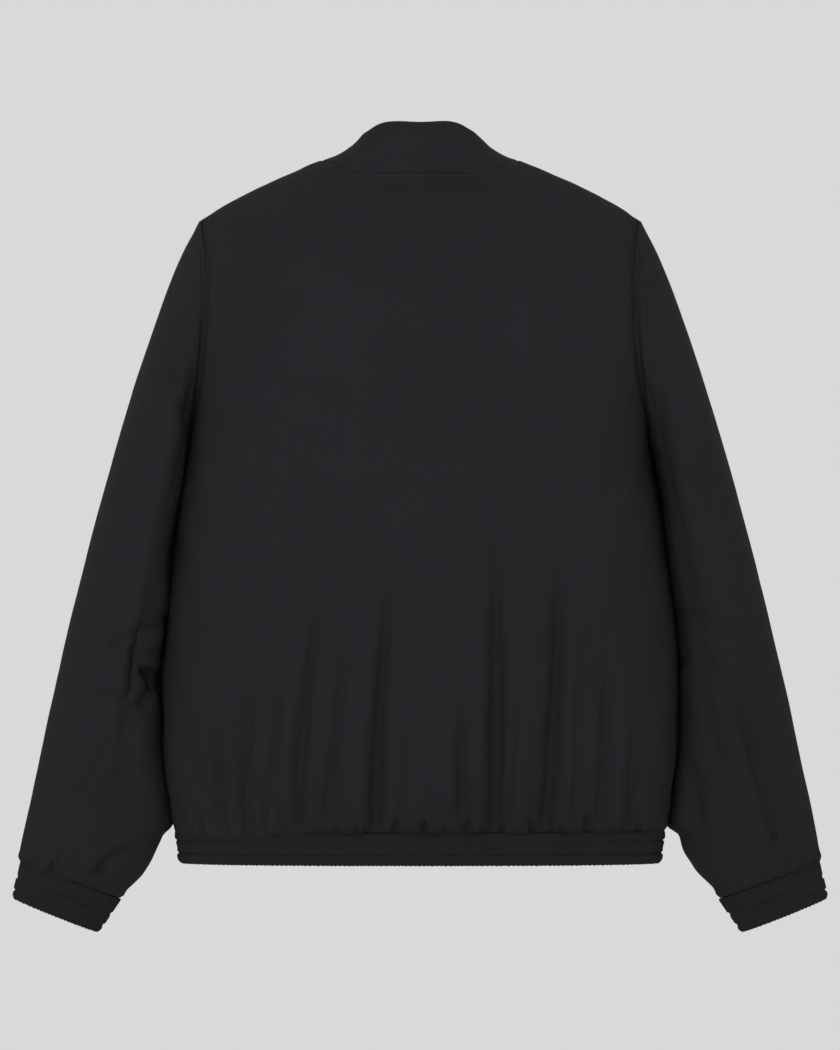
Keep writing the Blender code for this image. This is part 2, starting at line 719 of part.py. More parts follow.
def zip_fittings(frame):
    """The slider and its pull. In their own frame +X is across, +Y out and +Z up the zip."""
    plate = box("zip_slider", (SLIDER_WIDTH, SLIDER_PLATE, SLIDER_LENGTH),
                (0, SLIDER_PLATE / 2, 0), 0.0005)
    stem = box("stem", (STEM_WIDTH, STEM_DEPTH, SLIDER_LENGTH - 0.001), (0, -0.0010, 0))
    turns = np.linspace(0, math.pi, 9)
    loop = [(0, BAIL_FOOT + BAIL_HEIGHT * math.sin(t), BAIL_HALF * math.cos(t)) for t in turns]
    bail = rod("bail", BAIL_WIRE, loop)
    slider = combine(plate, [stem, bail], "UNION")
    settle(slider, frame, METAL, 0.35, 0.9)

    pull = box("zip_pull", (PULL_WIDTH, PULL_THICKNESS, PULL_LENGTH),
               (0, 0, PULL_END - PULL_LENGTH / 2), 0.0004)
    eye = box("eye", (EYE_WIDTH, 0.01, EYE_LENGTH), (0, 0, -PULL_END - EYE_LENGTH / 2))
    combine(pull, [eye], "DIFFERENCE")
    pin = frame @ Matrix.Translation((0, BAIL_FOOT + PIN_HEIGHT, 0))
    settle(pull, pin, METAL, 0.35, 0.9)


# ---------------------------------------------------------------- the jacket
for thing in list(bpy.data.objects):
    bpy.data.objects.remove(thing)
jacket = bpy.data.collections.new("bomber_jacket")
bpy.context.scene.collection.children.link(jacket)

back, front_left, front_right = body_grids()
collar = collar_grid(back, front_left, front_right)
sleeve = sleeve_grid(back, front_left)
sleeve_right = mirrored(sleeve)

grids = [back, front_left, front_right, collar, sleeve, sleeve_right]
normals = shared_normals(grids)
outward = dict(zip(("back", "front_left", "front_right", "collar", "sleeve", "sleeve_right"),
                   normals))

panels = {
    "back": (fold_panel(back, outward["back"], BACK_FOLDS, 1, False), outward["back"]),
    "front_left": (fold_panel(front_left, outward["front_left"], FRONT_FOLDS, 2, True),
                   outward["front_left"]),
    "front_right": (fold_panel(front_right, outward["front_right"], FRONT_FOLDS, 3, True),
                    outward["front_right"]),
}
for name, (outer, out) in panels.items():
    edges = ["low", "top", "first", "last"]
    wall(name, *trimmed(outer, outer - SHELL * out, edges))

out = outward["collar"]
wall("collar", *trimmed(collar, collar - COLLAR_CLOTH * out, ["low"]))

for side, name, grid, creases in ((1, "left", sleeve, LEFT_CREASES),
                                  (-1, "right", sleeve_right, RIGHT_CREASES)):
    out = outward["sleeve"]
    outer = crease_sleeve(sleeve, out, creases)
    inner = outer - SHELL * out
    outer, inner = (shifted + (SLEEVE_SHIFT, 0, 0) for shifted in (outer, inner))
    around = 2 * ARMHOLE_ROWS
    over = np.arange(SEAM_COLUMN, around - SEAM_COLUMN + 1)
    under = np.arange(-SEAM_COLUMN, SEAM_COLUMN + 1) % around
    for part, columns in (("top", over), ("under", under)):
        walls = trimmed(outer[:, columns], inner[:, columns], ["first", "last"])
        if side < 0:
            walls = [mirrored(face) for face in walls]
        wall(f"sleeve_{name}_{part}", *walls)
    cuff(f"cuff_{name}", side, 7 + side)

hem_band()

line, depth = line_up_front(collar, front_left, 0.0)
out = line_normals(line)
near, _ = line_up_front(collar, front_left, CHAIN_HALF + SEAM_GAP)
far, _ = line_up_front(collar, front_left, CHAIN_HALF + TAPE_WIDTH)
inward = -(depth + TAPE_CLEAR)
strip("zip_tape_left", near, far, out, inward, inward - TAPE, TAPE_COLOUR)
strip("zip_tape_right", far * (-1, 1, 1), near * (-1, 1, 1), out, inward, inward - TAPE,
      TAPE_COLOUR)
slider_end = SLIDER_BELOW_EDGE + SLIDER_LENGTH
short, _ = cut_short(line, depth, slider_end + 0.0005)
strip("zip_chain", short - (CHAIN_HALF, 0, 0), short + (CHAIN_HALF, 0, 0),
      line_normals(short), -CHAIN_INSET, -CHAIN_INSET - CHAIN_DEPTH, METAL)

middle, _ = cut_short(line, depth, SLIDER_BELOW_EDGE + SLIDER_LENGTH / 2)
up = Vector(line[-1] - line[-2]).normalized()
face_out = Vector(out[-1])
frame = Matrix.Translation(Vector(middle[-1]) + face_out * 0.0005)
frame @= Matrix((Vector((-1, 0, 0)), face_out, up)).transposed().to_4x4()
zip_fittings(frame)
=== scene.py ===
"""The looks of a plain black bomber jacket, filled out as worn, seen from behind.

Every piece is sewn from the outer face of its CAD wall: the wall's points are read line by
line, drawn finer, softened, and then pressed into the creases of the real cloth.
Metres, +Z up, the front faces -Y and the wearer's left side is +X.
"""
import math

import bmesh
import bpy
import numpy as np
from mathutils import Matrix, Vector
from mathutils.bvhtree import BVHTree
from mathutils.kdtree import KDTree


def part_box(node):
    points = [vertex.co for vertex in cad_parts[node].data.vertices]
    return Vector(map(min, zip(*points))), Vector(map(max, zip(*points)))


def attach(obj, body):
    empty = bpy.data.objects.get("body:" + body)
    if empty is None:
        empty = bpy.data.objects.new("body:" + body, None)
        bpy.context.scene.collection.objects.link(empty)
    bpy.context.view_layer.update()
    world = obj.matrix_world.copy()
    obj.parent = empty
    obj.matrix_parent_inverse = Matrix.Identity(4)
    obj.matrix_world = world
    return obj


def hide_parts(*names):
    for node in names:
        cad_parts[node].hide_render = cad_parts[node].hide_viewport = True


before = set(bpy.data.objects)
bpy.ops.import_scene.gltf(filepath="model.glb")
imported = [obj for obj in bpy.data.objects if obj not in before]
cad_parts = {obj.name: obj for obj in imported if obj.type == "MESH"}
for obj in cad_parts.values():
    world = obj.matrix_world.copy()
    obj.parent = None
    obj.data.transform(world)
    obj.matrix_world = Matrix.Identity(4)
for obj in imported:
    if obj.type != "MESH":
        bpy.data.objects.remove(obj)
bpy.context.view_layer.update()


# ------------------------------------------------------------------ the back
# One cut piece of matt black woven shell cloth, from the neck to the hem seam. It is sewn
# to the fronts at the sides and shoulders, and the elastic hem band draws its lower edge
# in, so that soft folds run up from puckers at the seam.
def table(text):
    """Read a small table with named columns into one array for each column."""
    rows = [line.split() for line in text.strip().splitlines()]
    columns = zip(*[[float(value) for value in row] for row in rows[1:]])
    return {name: np.array(values) for name, values in zip(rows[0], columns)}


def smooth_step(t):
    t = np.clip(t, 0.0, 1.0)
    return t * t * (3.0 - 2.0 * t)


ON_PLANE = 0.0007         # how near a plane the points at a wall's end lie
RIM_ANGLE = math.radians(70)
THICKEST_WALL = 0.0058    # of all the CAD walls of cloth
SHELL_WALL = 0.0022       # thickness of the CAD walls of the shell cloth


def wall_sides(wall, thickness):
    """The two sides of a wall, parted from its rim, whose faces have points of both sides.

    A point's mate on the other side is as far away as the wall is thick. Where the
    thickness isn't the same all over, and is given as 0, it is the nearest point, and the
    rim is also told by how sharply it is bent."""
    sharpest = math.tau if thickness else RIM_ANGLE
    tree = KDTree(len(wall.verts))
    for point in wall.verts:
        tree.insert(point.co, point.index)
    tree.balance()
    through = []
    for point in wall.verts:
        found = min(tree.find_n(point.co, 8)[1:], key=lambda found: abs(found[2] - thickness))
        through.append(found[1] if found[2] < THICKEST_WALL else None)
    left = {face for face in wall.faces
            if not {through[point.index] for point in face.verts}
            & {point.index for point in face.verts}}
    sides = []
    while left:
        side, waiting = set(), [left.pop()]
        while waiting:
            face = waiting.pop()
            side.add(face)
            beside = {other for edge in face.edges for other in edge.link_faces
                      if edge.calc_face_angle(math.pi) < sharpest} & left
            left -= beside
            waiting.extend(beside)
        sides.append(side)
    return sides


def outer_grid(node, on, square_to, thickness=0.0, closed=False, facing=None):
    """The points on a CAD wall's outer side, line by line from the line in a given plane."""
    wall = bmesh.new()
    wall.from_mesh(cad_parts[node].data)
    bmesh.ops.remove_doubles(wall, verts=wall.verts, dist=2e-5)
    wall.verts.index_update()
    wall.normal_update()
    hub = sum((point.co for point in wall.verts), Vector()) / len(wall.verts)

    def faces_out(part):
        if facing:
            return sum(face.normal.dot(Vector(facing)) for face in part) / len(part)
        return sum(face.normal.dot(face.calc_center_median() - hub) for face in part)

    part = max(wall_sides(wall, thickness), key=faces_out)
    near, rim = {}, set()
    for edge in {edge for face in part for edge in face.edges}:
        first, second = edge.verts
        near.setdefault(first, set()).add(second)
        near.setdefault(second, set()).add(first)
        if sum(face in part for face in edge.link_faces) == 1:
            rim.update(edge.verts)
    square_to = Vector(square_to).normalized()
    line = {point for point in rim if abs((point.co - Vector(on)).dot(square_to)) < ON_PLANE}
    left, lines = set(near), []
    while line:
        ends = [point for point in line if closed or len(near[point] & line) == 1]
        if lines:
            before = lines[-1]
            path = [min(ends, key=lambda point: (point.co - before[0].co).length)]
        else:
            before = None
            path = [max(ends, key=lambda point: tuple(point.co))]
        waiting = line - {path[0]}
        while waiting:
            steps = near[path[-1]] & waiting
            goal = before[len(path)].co if before else path[0].co
            path.append(min(steps, key=lambda point: (point.co - goal).length))
            waiting.discard(path[-1])
        lines.append(path)
        left -= line
        line = {beside for point in path for beside in near[point]} & left
    grid = np.array([[point.co for point in path] for path in lines])
    out = np.array([[point.normal for point in path] for path in lines])
    wall.free()
    turned = (normals_of(grid) * out).sum() < 0
    return grid[:, ::-1] if turned else grid


def normals_of(grid):
    """Directions out of the cloth at each point of a grid."""
    out = np.cross(np.gradient(grid, axis=1), np.gradient(grid, axis=0))
    return out / np.linalg.norm(out, axis=2)[..., None]


def curve_through(knots, values, at):
    """A smooth curve through values along the first axis, read at the given places."""
    slopes = np.gradient(values, knots, axis=0)
    i = np.clip(np.searchsorted(knots, at, side="right") - 1, 0, len(knots) - 2)
    shape = (-1, *[1] * (values.ndim - 1))
    span = (knots[i + 1] - knots[i]).reshape(shape)
    t = (at - knots[i]).reshape(shape) / span
    start = (1 + 2 * t) * (1 - t) ** 2 * values[i] + t * (1 - t) ** 2 * span * slopes[i]
    return start + t * t * (3 - 2 * t) * values[i + 1] + t * t * (t - 1) * span * slopes[i + 1]


def mean_lengths(grid, axis):
    """Mean distance from the first line of a grid to each of its lines."""
    steps = np.linalg.norm(np.diff(grid, axis=axis), axis=2).mean(axis=1 - axis)
    return np.concatenate([[0], np.cumsum(steps)])


def refined(grid, up, across):
    """The same surface with its lines at the given shares of its height and width."""
    rows = mean_lengths(grid, 0)
    grid = curve_through(rows, grid, up * rows[-1])
    columns = mean_lengths(grid, 1)
    turned = curve_through(columns, grid.transpose(1, 0, 2), across * columns[-1])
    return turned.transpose(1, 0, 2)


def softened(grid, passes):
    """Take small bumps out of a surface and its edges without drawing its round parts in."""
    def blurred(points):
        points = points.copy()
        for _ in range(passes):
            level, up = points[:, :-2] + points[:, 2:], points[:-2] + points[2:]
            points[1:-1, 1:-1] = points[1:-1, 1:-1] / 2 + (level[1:-1] + up[:, 1:-1]) / 8
            for edge in (0, -1):
                points[edge, 1:-1] = points[edge, 1:-1] / 2 + level[edge] / 4
        return points
    once = blurred(grid)
    return once + blurred(grid - once)


def unevenness(grid, seed, size, upright=1.0):
    """A slow random swell about 0, its bumps about size apart and drawn out upwards."""
    rng = np.random.default_rng(seed)
    total = np.zeros(grid.shape[:2])
    for _ in range(26):
        wave = rng.normal(size=3) * (1, 1, 1 / upright)
        wave *= 2 * math.pi / (np.linalg.norm(wave) * size * rng.uniform(0.7, 1.7))
        total += np.sin(grid @ wave + rng.uniform(0, 2 * math.pi))
    return total / 5


def from_edges(grid):
    """Each point's distance along the cloth from the low, top, first and last edge."""
    up = np.linalg.norm(np.diff(grid, axis=0), axis=2).cumsum(axis=0)
    up = np.concatenate([np.zeros((1, grid.shape[1])), up])
    across = np.linalg.norm(np.diff(grid, axis=1), axis=2).cumsum(axis=1)
    across = np.concatenate([np.zeros((grid.shape[0], 1)), across], axis=1)
    return up, up[-1:] - up, across, across[:, -1:] - across


def crease_depth(grid, creases, lean=0.2):
    """How far a table of creases, placed by x and z, presses each point of a panel in.

    A crease is a soft trough whose one side is steep and rises to a ridge, on the +X side
    for a width above 0. The more it leans, the less trough there is, and the more of a step."""
    x, z = grid[..., 0], grid[..., 2]
    total = np.zeros_like(x)
    for top_x, top_z, low_x, low_z, bow, width, depth in zip(*creases.values()):
        run_x, run_z = low_x - top_x, low_z - top_z
        run = math.hypot(run_x, run_z)
        along = ((x - top_x) * run_x + (z - top_z) * run_z) / run ** 2
        aside = ((z - top_z) * run_x - (x - top_x) * run_z) / run
        aside = (aside - bow * np.sin(math.pi * np.clip(along, 0, 1))) / width
        strength = smooth_step((along + 0.1) / 0.4) * smooth_step((1.1 - along) / 0.3)
        # a deep core with soft flanks, and a low ridge beside them
        trough = 0.95 * np.exp(-(aside / 0.7) ** 2) + 0.25 * np.exp(-(aside / 1.6) ** 2)
        trough -= 0.4 * np.exp(-((aside - 2.1) / 1.1) ** 2)
        step = -0.65 * np.tanh(aside / 0.6) * np.exp(-(aside / 2.0) ** 2)
        total += depth * strength * ((1 - lean) * trough + lean * step)
    return total


PUCKER_STEP = (0.0055, 0.0105)      # least and most distance between two small gathers
PUCKER_HEIGHT = (0.0003, 0.0011)
PUCKER_REACH = (0.010, 0.030)       # how far they run up from the seam
PUCKER_RISE = 0.0030      # the cloth springs out this soon above the seam
PUFF = 0.0009             # and this far
HELD = 0.65               # share of a larger gather's depth that the seam takes out


def pucker_swell(grid, puckers, seed):
    """Small gathers that the elastic seam at the low edge makes, and a few larger ones."""
    rng = np.random.default_rng(seed)
    up, x = from_edges(grid)[0], grid[..., 0]
    length = mean_lengths(grid, 1)
    places = [0.0]
    while places[-1] < length[-1]:
        places.append(places[-1] + rng.uniform(*PUCKER_STEP))
    in_and_out = np.where(np.arange(len(places)) % 2, 1, -1)
    heights = rng.uniform(*PUCKER_HEIGHT, len(places)) * in_and_out
    reaches = rng.uniform(*PUCKER_REACH, len(places))
    height = curve_through(np.array(places), heights, length)
    reach = curve_through(np.array(places), reaches, length)
    total = height * np.exp(-(up / reach) ** 1.5) + PUFF * np.exp(-((up - 0.005) / 0.004) ** 2)
    total *= smooth_step(up / PUCKER_RISE)
    for place, tall, width, depth in zip(*puckers.values()):
        narrow = width * (1.15 - 0.6 * np.clip(up / tall, 0, 1))
        groove = np.exp(-((x - place) / narrow) ** 2)
        lips = np.exp(-((np.abs(x - place) - 2 * width) / width) ** 2)
        held = 1 - HELD * np.exp(-(up / PUCKER_RISE) ** 2)
        total -= depth * (groove - 0.45 * lips) * np.exp(-(up / tall) ** 2) * held
    return total


SEAM_DIP = 0.0007         # how far a sewn edge lies below the cloth beside it
SEAM_ROLL = 0.0028        # and how far from it the cloth begins to dip
LOW_EDGE_DIP = 0.25       # share of the dip at a piece's gathered low edge
POINT_RISE = 0.0008       # the cloth stands up so far where the seams meet at the shoulder
POINT_WIDE = 0.008


def sewn_in(grid, edges=(0, 1, 2, 3)):
    """How far the cloth dips towards its sewn edges."""
    distance = np.min([from_edges(grid)[edge] for edge in edges], axis=0)
    return SEAM_DIP * np.exp(-(distance / SEAM_ROLL) ** 2)


def off_point(distance):
    """A share that is 0 where several seams meet at one point and 1 away from it."""
    return 1 - np.exp(-(distance / 0.018) ** 2)


def dip_at_seams(grid, to_point):
    """How far a piece dips at its seams, given how far its points are from where they meet."""
    sides = sewn_in(grid, (1, 2, 3)) * off_point(to_point)
    return sides + LOW_EDGE_DIP * sewn_in(grid, (0,))


def rise_at_point(to_point):
    return POINT_RISE * np.exp(-(to_point / POINT_WIDE) ** 2)


def kept_at_edges(grid, fade=0.012, edges=(0, 1, 2, 3)):
    """A share that is 0 at a piece's edges and 1 away from them."""
    return smooth_step(np.min([from_edges(grid)[edge] for edge in edges], axis=0) / fade)


# How far the rows of a seam allowance go on past the edge, and in below it.
ALLOWANCE = ((0.0050, 0.0026), (0.0017, 0.0008), (0.0006, 0.0001))


def tucked(grid):
    """Carry a piece's low edge on behind its neighbour below, as its seam allowance."""
    out = normals_of(grid)[2]
    on = grid[0] - grid[12]
    for _ in range(6):
        on[1:-1] = on[1:-1] / 2 + (on[:-2] + on[2:]) / 4
    on /= np.linalg.norm(on, axis=1)[:, None]
    even = grid[0].copy()                    # the edge without its dents
    for _ in range(120):
        even[1:-1] = even[1:-1] / 2 + (even[:-2] + even[2:]) / 4
    rows = [(edge + on * past - out * below)
            for edge, (past, below) in zip((even, even, grid[0]), ALLOWANCE)]
    return np.concatenate([rows, grid])


def cloth(name, grid, thickness, closed=False):
    """Make a grid of points a sheet of cloth with a UV map in metres, thickened inwards."""
    rows, columns = grid.shape[:2]
    bpy.ops.object.select_all(action="DESELECT")
    bpy.ops.mesh.primitive_grid_add(x_subdivisions=columns - 1, y_subdivisions=rows - 1, size=1)
    sheet = bpy.context.object
    sheet.name = name
    sheet.data.vertices.foreach_set("co", grid.reshape(-1))
    flat = sheet.data.uv_layers[0]
    flat.name = "cloth"
    places = np.empty(len(flat.data) * 2)
    flat.data.foreach_get("uv", places)
    size = mean_lengths(grid, 1)[-1], mean_lengths(grid, 0)[-1]
    flat.data.foreach_set("uv", (places.reshape(-1, 2) * size).reshape(-1))
    if closed:
        bpy.ops.object.mode_set(mode="EDIT")
        bpy.ops.mesh.select_all(action="SELECT")
        bpy.ops.mesh.remove_doubles(threshold=0.00001)
        bpy.ops.object.mode_set(mode="OBJECT")
    wall = sheet.modifiers.new("thickness", "SOLIDIFY")
    wall.thickness = thickness
    wall.offset = -1
    bpy.ops.object.modifier_apply(modifier="thickness")
    bpy.ops.object.shade_smooth_by_angle(angle=math.radians(60))
    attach(sheet, "jacket")
    return sheet


class Value:
    """One shader value. Arithmetic on it adds the Math nodes that work it out."""

    def __init__(self, finish, socket):
        self.finish, self.socket = finish, socket

    def math(self, operation, other=None, turned=False):
        pair = (other, self) if turned else (self, other)
        sides = {side: value for side, value in enumerate(pair) if value is not None}
        return self.finish.node("ShaderNodeMath", sides, operation=operation)

    def __add__(self, other):
        return self.math("ADD", other)

    def __sub__(self, other):
        return self.math("SUBTRACT", other)

    def __rsub__(self, other):
        return self.math("SUBTRACT", other, turned=True)

    def __mul__(self, other):
        return self.math("MULTIPLY", other)

    __radd__, __rmul__ = __add__, __mul__


class Finish:
    """A material whose nodes are added one by one to a Principled surface."""

    def __init__(self, name):
        self.material = bpy.data.materials.new(name)
        self.material.use_nodes = True
        self.tree = self.material.node_tree
        self.surface = self.tree.nodes["Principled BSDF"]

    def join(self, socket, value):
        if isinstance(value, Value):
            self.tree.links.new(value.socket, socket)
        else:
            socket.default_value = value

    def node(self, kind, values, output=0, **settings):
        node = self.tree.nodes.new(kind)
        for setting, value in settings.items():
            setattr(node, setting, value)
        for socket, value in values.items():
            self.join(node.inputs[socket], value)
        return Value(self, node.outputs[output])

    def set(self, **values):
        """Set the surface's sockets, named with _ for each space."""
        for name, value in values.items():
            self.join(self.surface.inputs[name.replace("_", " ")], value)

    def mixed(self, share, first, second):
        """A colour between two, by a share from 0 to 1."""
        mix = self.tree.nodes.new("ShaderNodeMix")
        mix.data_type = "RGBA"
        for socket, value in zip((0, 6, 7), (share, first, second)):
            self.join(mix.inputs[socket], value)
        return Value(self, mix.outputs[2])

    def noise(self, place, scale, detail=2.0):
        return self.node("ShaderNodeTexNoise", {"Vector": place, "Scale": scale, "Detail": detail})

    def put_on(self, *pieces):
        for piece in pieces:
            piece.data.materials.clear()
            piece.data.materials.append(self.material)


YARN = 0.0006             # from one thread of the plain weave to the next but one


def woven(name, dark, light, crinkle):
    """A matt woven cloth: fine plain weave, soft crinkle, and a little wear in its black."""
    finish = Finish(name)
    flat = finish.node("ShaderNodeUVMap", {}, uv_map="cloth")
    across = finish.node("ShaderNodeSeparateXYZ", {0: flat}, output=0)
    along = finish.node("ShaderNodeSeparateXYZ", {0: flat}, output=1)
    turn = 2 * math.pi / YARN
    weave = (across * turn).math("SINE") * (along * turn).math("SINE")
    place = finish.node("ShaderNodeTexCoord", {}, output=3)
    cloud = finish.noise(place, 9.0, 4.0)
    nap = finish.noise(place, 420.0, 2.0)
    shade = (cloud - 0.5) * 1.1 + (nap - 0.5) * 0.9 + weave * 0.12 + 0.5
    share = shade.math("MINIMUM", 1.0).math("MAXIMUM", 0.0)
    finish.set(Base_Color=finish.mixed(share, dark, light),
               Roughness=0.84 + (cloud - 0.5) * 0.16 + (nap - 0.5) * 0.10,
               Sheen_Weight=0.005, Sheen_Roughness=0.6, Specular_IOR_Level=0.015)
    creases = finish.noise(place, 55.0, 3.0)
    height = creases * crinkle + nap * 0.10 + weave * 0.06
    finish.set(Normal=finish.node("ShaderNodeBump", {"Strength": 0.6, "Distance": 0.001,
                                                     "Height": height}))
    return finish


SHELL_DARK, SHELL_LIGHT = (0.0182, 0.0191, 0.0213, 1), (0.0227, 0.0239, 0.0266, 1)
shell = woven("shell_cloth", SHELL_DARK, SHELL_LIGHT, 0.28)
SHELL_THICKNESS = 0.0011
HEM_SEAM = (0, 0, -0.62835)


def panel_rows(count):
    """Shares of a panel's height that lie closer together near the hem and the neck."""
    share = np.linspace(0, 1, count - 1)
    steps = (0.30 + 1.12 * share ** 0.6) * (1 - 0.65 * smooth_step((share - 0.86) / 0.08))
    return np.concatenate([[0], steps.cumsum() / steps.sum()])


BACK_CREASES = table("""
      top_x   top_z   low_x   low_z     bow   width  depth
     0.1635  -0.480  0.1640  -0.660  0.0015  0.0070 0.0052
     0.1300  -0.470  0.1550  -0.640 -0.0030 -0.0055 0.0040
     0.0950  -0.400  0.1190  -0.640  0.0030  0.0065 0.0056
     0.0700  -0.445  0.0930  -0.625 -0.0020  0.0055 0.0040
     0.0290  -0.390  0.0440  -0.660  0.0025  0.0070 0.0080
     0.0120  -0.520  0.0235  -0.650 -0.0015 -0.0050 0.0036
    -0.0400  -0.495 -0.0395  -0.660  0.0010  0.0055 0.0044
    -0.0710  -0.355 -0.0695  -0.660 -0.0020  0.0075 0.0084
    -0.0960  -0.480 -0.0840  -0.620  0.0020 -0.0050 0.0031
    -0.1340  -0.355 -0.1165  -0.660 -0.0030 -0.0075 0.0080
    -0.1510  -0.460 -0.1470  -0.640  0.0010  0.0055 0.0036
    -0.1790  -0.450 -0.1665  -0.660 -0.0020 -0.0065 0.0056
    -0.2050  -0.520 -0.2010  -0.655  0.0010  0.0060 0.0040
     0.1990  -0.510  0.1890  -0.655 -0.0015  0.0060 0.0044
     0.1690  -0.355  0.1665  -0.475  0.0010  0.0080 0.0031
     0.1360  -0.585  0.1235  -0.634  0.0050  0.0030 0.0026
     0.1170  -0.590  0.1200  -0.634 -0.0040 -0.0030 0.0018
    -0.0030  -0.579 -0.0240  -0.606  0.0040  0.0040 0.0021
     0.1770  -0.040  0.1140  -0.047  0.0020  0.0050 0.0011
     0.1700  -0.062  0.1250  -0.066 -0.0015 -0.0060 0.0009
    -0.1150  -0.031 -0.1540  -0.037  0.0015  0.0050 0.0010
    -0.1300  -0.055 -0.1820  -0.060  0.0020  0.0065 0.0009
     0.1980  -0.110  0.1500  -0.330 -0.0120  0.0120 0.0016
    -0.1970  -0.115 -0.1520  -0.320  0.0110 -0.0120 0.0015
     0.2100  -0.262  0.1560  -0.345 -0.0060  0.0080 0.0016
    -0.2090  -0.265 -0.1600  -0.352  0.0060 -0.0085 0.0018
     0.0800  -0.040  0.0900  -0.200  0.0040  0.0140 0.0009
    -0.0650  -0.045 -0.0860  -0.230 -0.0040  0.0150 0.0010
     0.0900 -0.0115 -0.1000 -0.0115  0.0000  0.0080 0.0052
""")
BACK_PUCKERS = table("""
      place  tall  width  depth
     0.2090 0.018 0.0030 0.0023
     0.1865 0.012 0.0026 0.0030
     0.1501 0.014 0.0026 0.0027
     0.1386 0.012 0.0024 0.0023
     0.0993 0.013 0.0026 0.0027
     0.0801 0.012 0.0024 0.0025
     0.0609 0.013 0.0026 0.0027
     0.0513 0.012 0.0022 0.0025
     0.0235 0.020 0.0030 0.0049
    -0.0043 0.018 0.0030 0.0049
    -0.0235 0.013 0.0026 0.0027
    -0.0446 0.020 0.0036 0.0049
    -0.0772 0.013 0.0026 0.0029
    -0.1060 0.018 0.0030 0.0049
    -0.1232 0.012 0.0024 0.0025
    -0.1338 0.012 0.0024 0.0025
    -0.1602 0.024 0.0048 0.0057
    -0.1913 0.014 0.0028 0.0029
    -0.2086 0.016 0.0028 0.0027
""")


UNDERARM = -0.29
SAG, SAG_FROM = 0.0075, 0.085       # how far the cloth sags over the band, on the left alone
SAG_OUT, SAG_IN = 0.0024, 0.016     # how far it stands out there, and the share it narrows by
VALLEY, VALLEY_WIDE = 0.0030, 0.0075      # the soft valley along an armhole
SWELL, CRINKLE = 0.0013, 0.00045          # unevenness of the body's cloth, broad and fine


def body_panel(name, node, rows, columns, creases, puckers, seed):
    """A cut piece of the body: softened, creased, and puckered along the hem seam."""
    grid = outer_grid(node, HEM_SEAM, (0, 0, 1), SHELL_WALL)
    grid = softened(refined(grid, panel_rows(rows), np.linspace(0, 1, columns)), 90)
    half = 1 if grid[..., 1].mean() > 0 else -1       # the side seams lie on y = 0
    grid[..., 1] = half * np.maximum(half * grid[..., 1], 0)
    out = normals_of(grid)
    low, top, first, last = from_edges(grid)
    sides = np.minimum(first, last)
    below_arm = np.clip(UNDERARM - grid[..., 2], 0, None)
    free = smooth_step(np.minimum(np.minimum(low, top), sides + below_arm) / 0.014)
    press = crease_depth(grid, creases) * kept_at_edges(grid, 0.012)
    uneven = SWELL * unevenness(grid, 11, 0.085) + CRINKLE * unevenness(grid, 12, 0.026, 1.6)
    press -= uneven * free
    to_point = np.hypot(top, sides)
    press += dip_at_seams(grid, to_point)
    above_arm = smooth_step((grid[..., 2] - UNDERARM) / 0.04) * smooth_step(top / 0.02)
    press += VALLEY * np.exp(-(sides / VALLEY_WIDE) ** 2) * above_arm
    press -= rise_at_point(to_point)
    swell = pucker_swell(grid, puckers, seed) * smooth_step(sides / 0.01)
    grid = grid + out * (swell - press)[..., None]
    sag = smooth_step((grid[..., 0] - SAG_FROM) / 0.10) * np.exp(-(low / 0.014) ** 2)
    grid += out * (0, SAG_OUT, 0) * sag[..., None]
    grid[..., 0] *= 1 - SAG_IN * sag
    grid[..., 2] -= SAG * sag
    piece = cloth(name, tucked(grid), SHELL_THICKNESS)
    shell.put_on(piece)
    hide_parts(node)
    return grid


back_grid = body_panel("cloth_back", "back", 104, 460, BACK_CREASES, BACK_PUCKERS, 13)


# ------------------------------------------------------------------ the fronts
# Two cut pieces of the same cloth, one each side of the zip, mirrored in their cut but not
# in their folds. The front doesn't show in the photograph and is finished plainly.
LEFT_FRONT_CREASES = table("""
     top_x  top_z  low_x  low_z     bow   width  depth
    0.1960 -0.490 0.1930 -0.655  0.0010  0.0060 0.0025
    0.1560 -0.380 0.1640 -0.660  0.0020  0.0070 0.0037
    0.1180 -0.460 0.1250 -0.650 -0.0020 -0.0060 0.0028
    0.0780 -0.360 0.0830 -0.660  0.0020  0.0070 0.0039
    0.0430 -0.490 0.0460 -0.655 -0.0010  0.0055 0.0023
    0.0620 -0.520 0.0650 -0.640  0.0010 -0.0050 0.0016
    0.1400 -0.500 0.1440 -0.650 -0.0015  0.0050 0.0018
    0.2000 -0.120 0.1500 -0.320 -0.0120  0.0120 0.0018
    0.2090 -0.270 0.1480 -0.360 -0.0070  0.0085 0.0021
    0.0900 -0.060 0.1000 -0.230  0.0040  0.0140 0.0011
    0.1650 -0.050 0.1150 -0.060  0.0020  0.0055 0.0010
""")
RIGHT_FRONT_CREASES = table("""
      top_x  top_z   low_x  low_z     bow   width  depth
    -0.0480 -0.440 -0.0500 -0.655  0.0010  0.0060 0.0028
    -0.0860 -0.390 -0.0940 -0.655 -0.0020 -0.0065 0.0037
    -0.1250 -0.480 -0.1290 -0.655  0.0010  0.0060 0.0023
    -0.1600 -0.370 -0.1700 -0.660 -0.0020 -0.0075 0.0041
    -0.2000 -0.510 -0.1980 -0.655  0.0010  0.0060 0.0023
    -0.0270 -0.500 -0.0290 -0.640 -0.0010  0.0050 0.0016
    -0.1080 -0.530 -0.1110 -0.650  0.0010  0.0050 0.0016
    -0.1980 -0.115 -0.1520 -0.330  0.0120 -0.0120 0.0018
    -0.2090 -0.268 -0.1500 -0.350  0.0070 -0.0085 0.0021
    -0.0850 -0.065 -0.0980 -0.240 -0.0040 -0.0140 0.0011
    -0.1180 -0.052 -0.1640 -0.060  0.0020  0.0055 0.0010
""")
